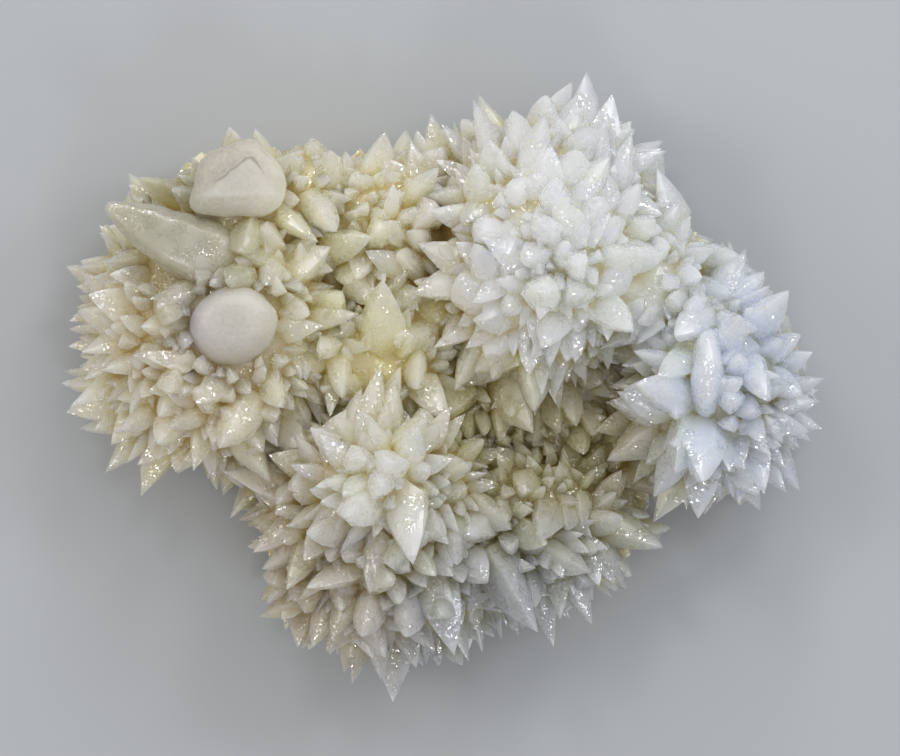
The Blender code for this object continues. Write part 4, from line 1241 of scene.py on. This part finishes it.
# %% The finished material
made = {"Base Color": base, "Normal": normal, "Roughness": rough, "Metallic": flashing * 0.12}
for name, field in made.items():
    tree.links.new(field.socket, shader.inputs[name])
shader.subsurface_method = "RANDOM_WALK"
for name, value in {
    "Subsurface Weight": 1.0,
    "Subsurface Radius": (1.0, 0.95, 0.75),
    "Subsurface Scale": 0.022,
    "IOR": 1.66,
    "Specular IOR Level": 1.0,
}.items():
    shader.inputs[name].default_value = value
cluster.data.materials.append(material)
print("nodes in all:", len(tree.nodes))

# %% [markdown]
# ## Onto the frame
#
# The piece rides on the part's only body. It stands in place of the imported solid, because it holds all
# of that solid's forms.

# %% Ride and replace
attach(cluster, "root")
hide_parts("calcite_cluster")
print("on the frame:", cluster.name)

# %% [markdown]
# ## Floor, light and camera
#
# A plain pale floor and a pale sky give soft light from everywhere. One large window from the upper
# right makes the shading, a warm one on the left fills it, and five smaller ones are bright enough for
# the facets to flash. The camera looks straight down from far off, as in the photograph.

# %% Floor
FLOOR_HALF = 3.0  # metres
FLOOR_PAINT = (0.50, 0.52, 0.55, 1)
corners = [(-FLOOR_HALF, -FLOOR_HALF, 0), (FLOOR_HALF, -FLOOR_HALF, 0),
           (FLOOR_HALF, FLOOR_HALF, 0), (-FLOOR_HALF, FLOOR_HALF, 0)]
floor_mesh = bpy.data.meshes.new("floor")
floor_mesh.from_pydata(corners, [], [(0, 1, 2, 3)])
floor = bpy.data.objects.new("floor", floor_mesh)
bpy.context.scene.collection.objects.link(floor)
paint = bpy.data.materials.new("pale_floor")
paint.use_nodes = True
paint.node_tree.nodes["Principled BSDF"].inputs["Base Color"].default_value = FLOOR_PAINT
paint.node_tree.nodes["Principled BSDF"].inputs["Roughness"].default_value = 0.8
floor_mesh.materials.append(paint)
print("floor, m:", 2 * FLOOR_HALF)

# %% Lights
GLINT_SPOTS = [(0.45, 0.75, 1.0), (-0.35, 0.7, 1.1), (0.1, 1.05, 0.6), (0.2, -0.7, 1.1), (0.8, 0.4, 0.9)]
LIGHTS = [  # name, place in metres, size, watts and colour
    ("window", (0.5, 0.35, 1.3), 0.9, 1.4, (0.94, 0.97, 1.0)),
    ("left_fill", (-0.9, 0.2, 0.9), 0.5, 2.0, (1.0, 0.93, 0.84)),
]
LIGHTS += [("glint_%d" % number, spot, 0.24, 1.55, (0.93, 0.965, 1.0))
           for number, spot in enumerate(GLINT_SPOTS)]


def softbox(name, place, size, watts, colour):
    """A square light that faces the cluster."""
    light = bpy.data.lights.new(name, "AREA")
    light.size = size
    light.energy = watts
    light.color = colour
    lamp = bpy.data.objects.new(name, light)
    lamp.location = place
    toward = -lamp.location
    lamp.rotation_euler = toward.to_track_quat("-Z", "Y").to_euler()
    bpy.context.scene.collection.objects.link(lamp)


for light in LIGHTS:
    softbox(*light)
world = bpy.data.worlds.new("studio")
bpy.context.scene.world = world
world.use_nodes = True
world.node_tree.nodes["Background"].inputs["Color"].default_value = (1.0, 0.99, 0.97, 1)
world.node_tree.nodes["Background"].inputs["Strength"].default_value = 0.47
print("lights:", len(LIGHTS))

# %% Camera
PICTURE_MM = 300.0  # what the picture's width covers at the rims' height
PICTURE_CENTRE = (3.0, 3.0)
RIM_HEIGHT = 35.0
CAMERA_HEIGHT = 2500.0
camera = bpy.data.objects.new("camera", bpy.data.cameras.new("camera"))
camera.data.lens = camera.data.sensor_width * (CAMERA_HEIGHT - RIM_HEIGHT) / PICTURE_MM
camera.location = (PICTURE_CENTRE[0] * MM, PICTURE_CENTRE[1] * MM, CAMERA_HEIGHT * MM)
bpy.context.scene.collection.objects.link(camera)
bpy.context.scene.camera = camera
bpy.context.scene.view_settings.view_transform = "Standard"
print("lens, mm:", round(camera.data.lens))
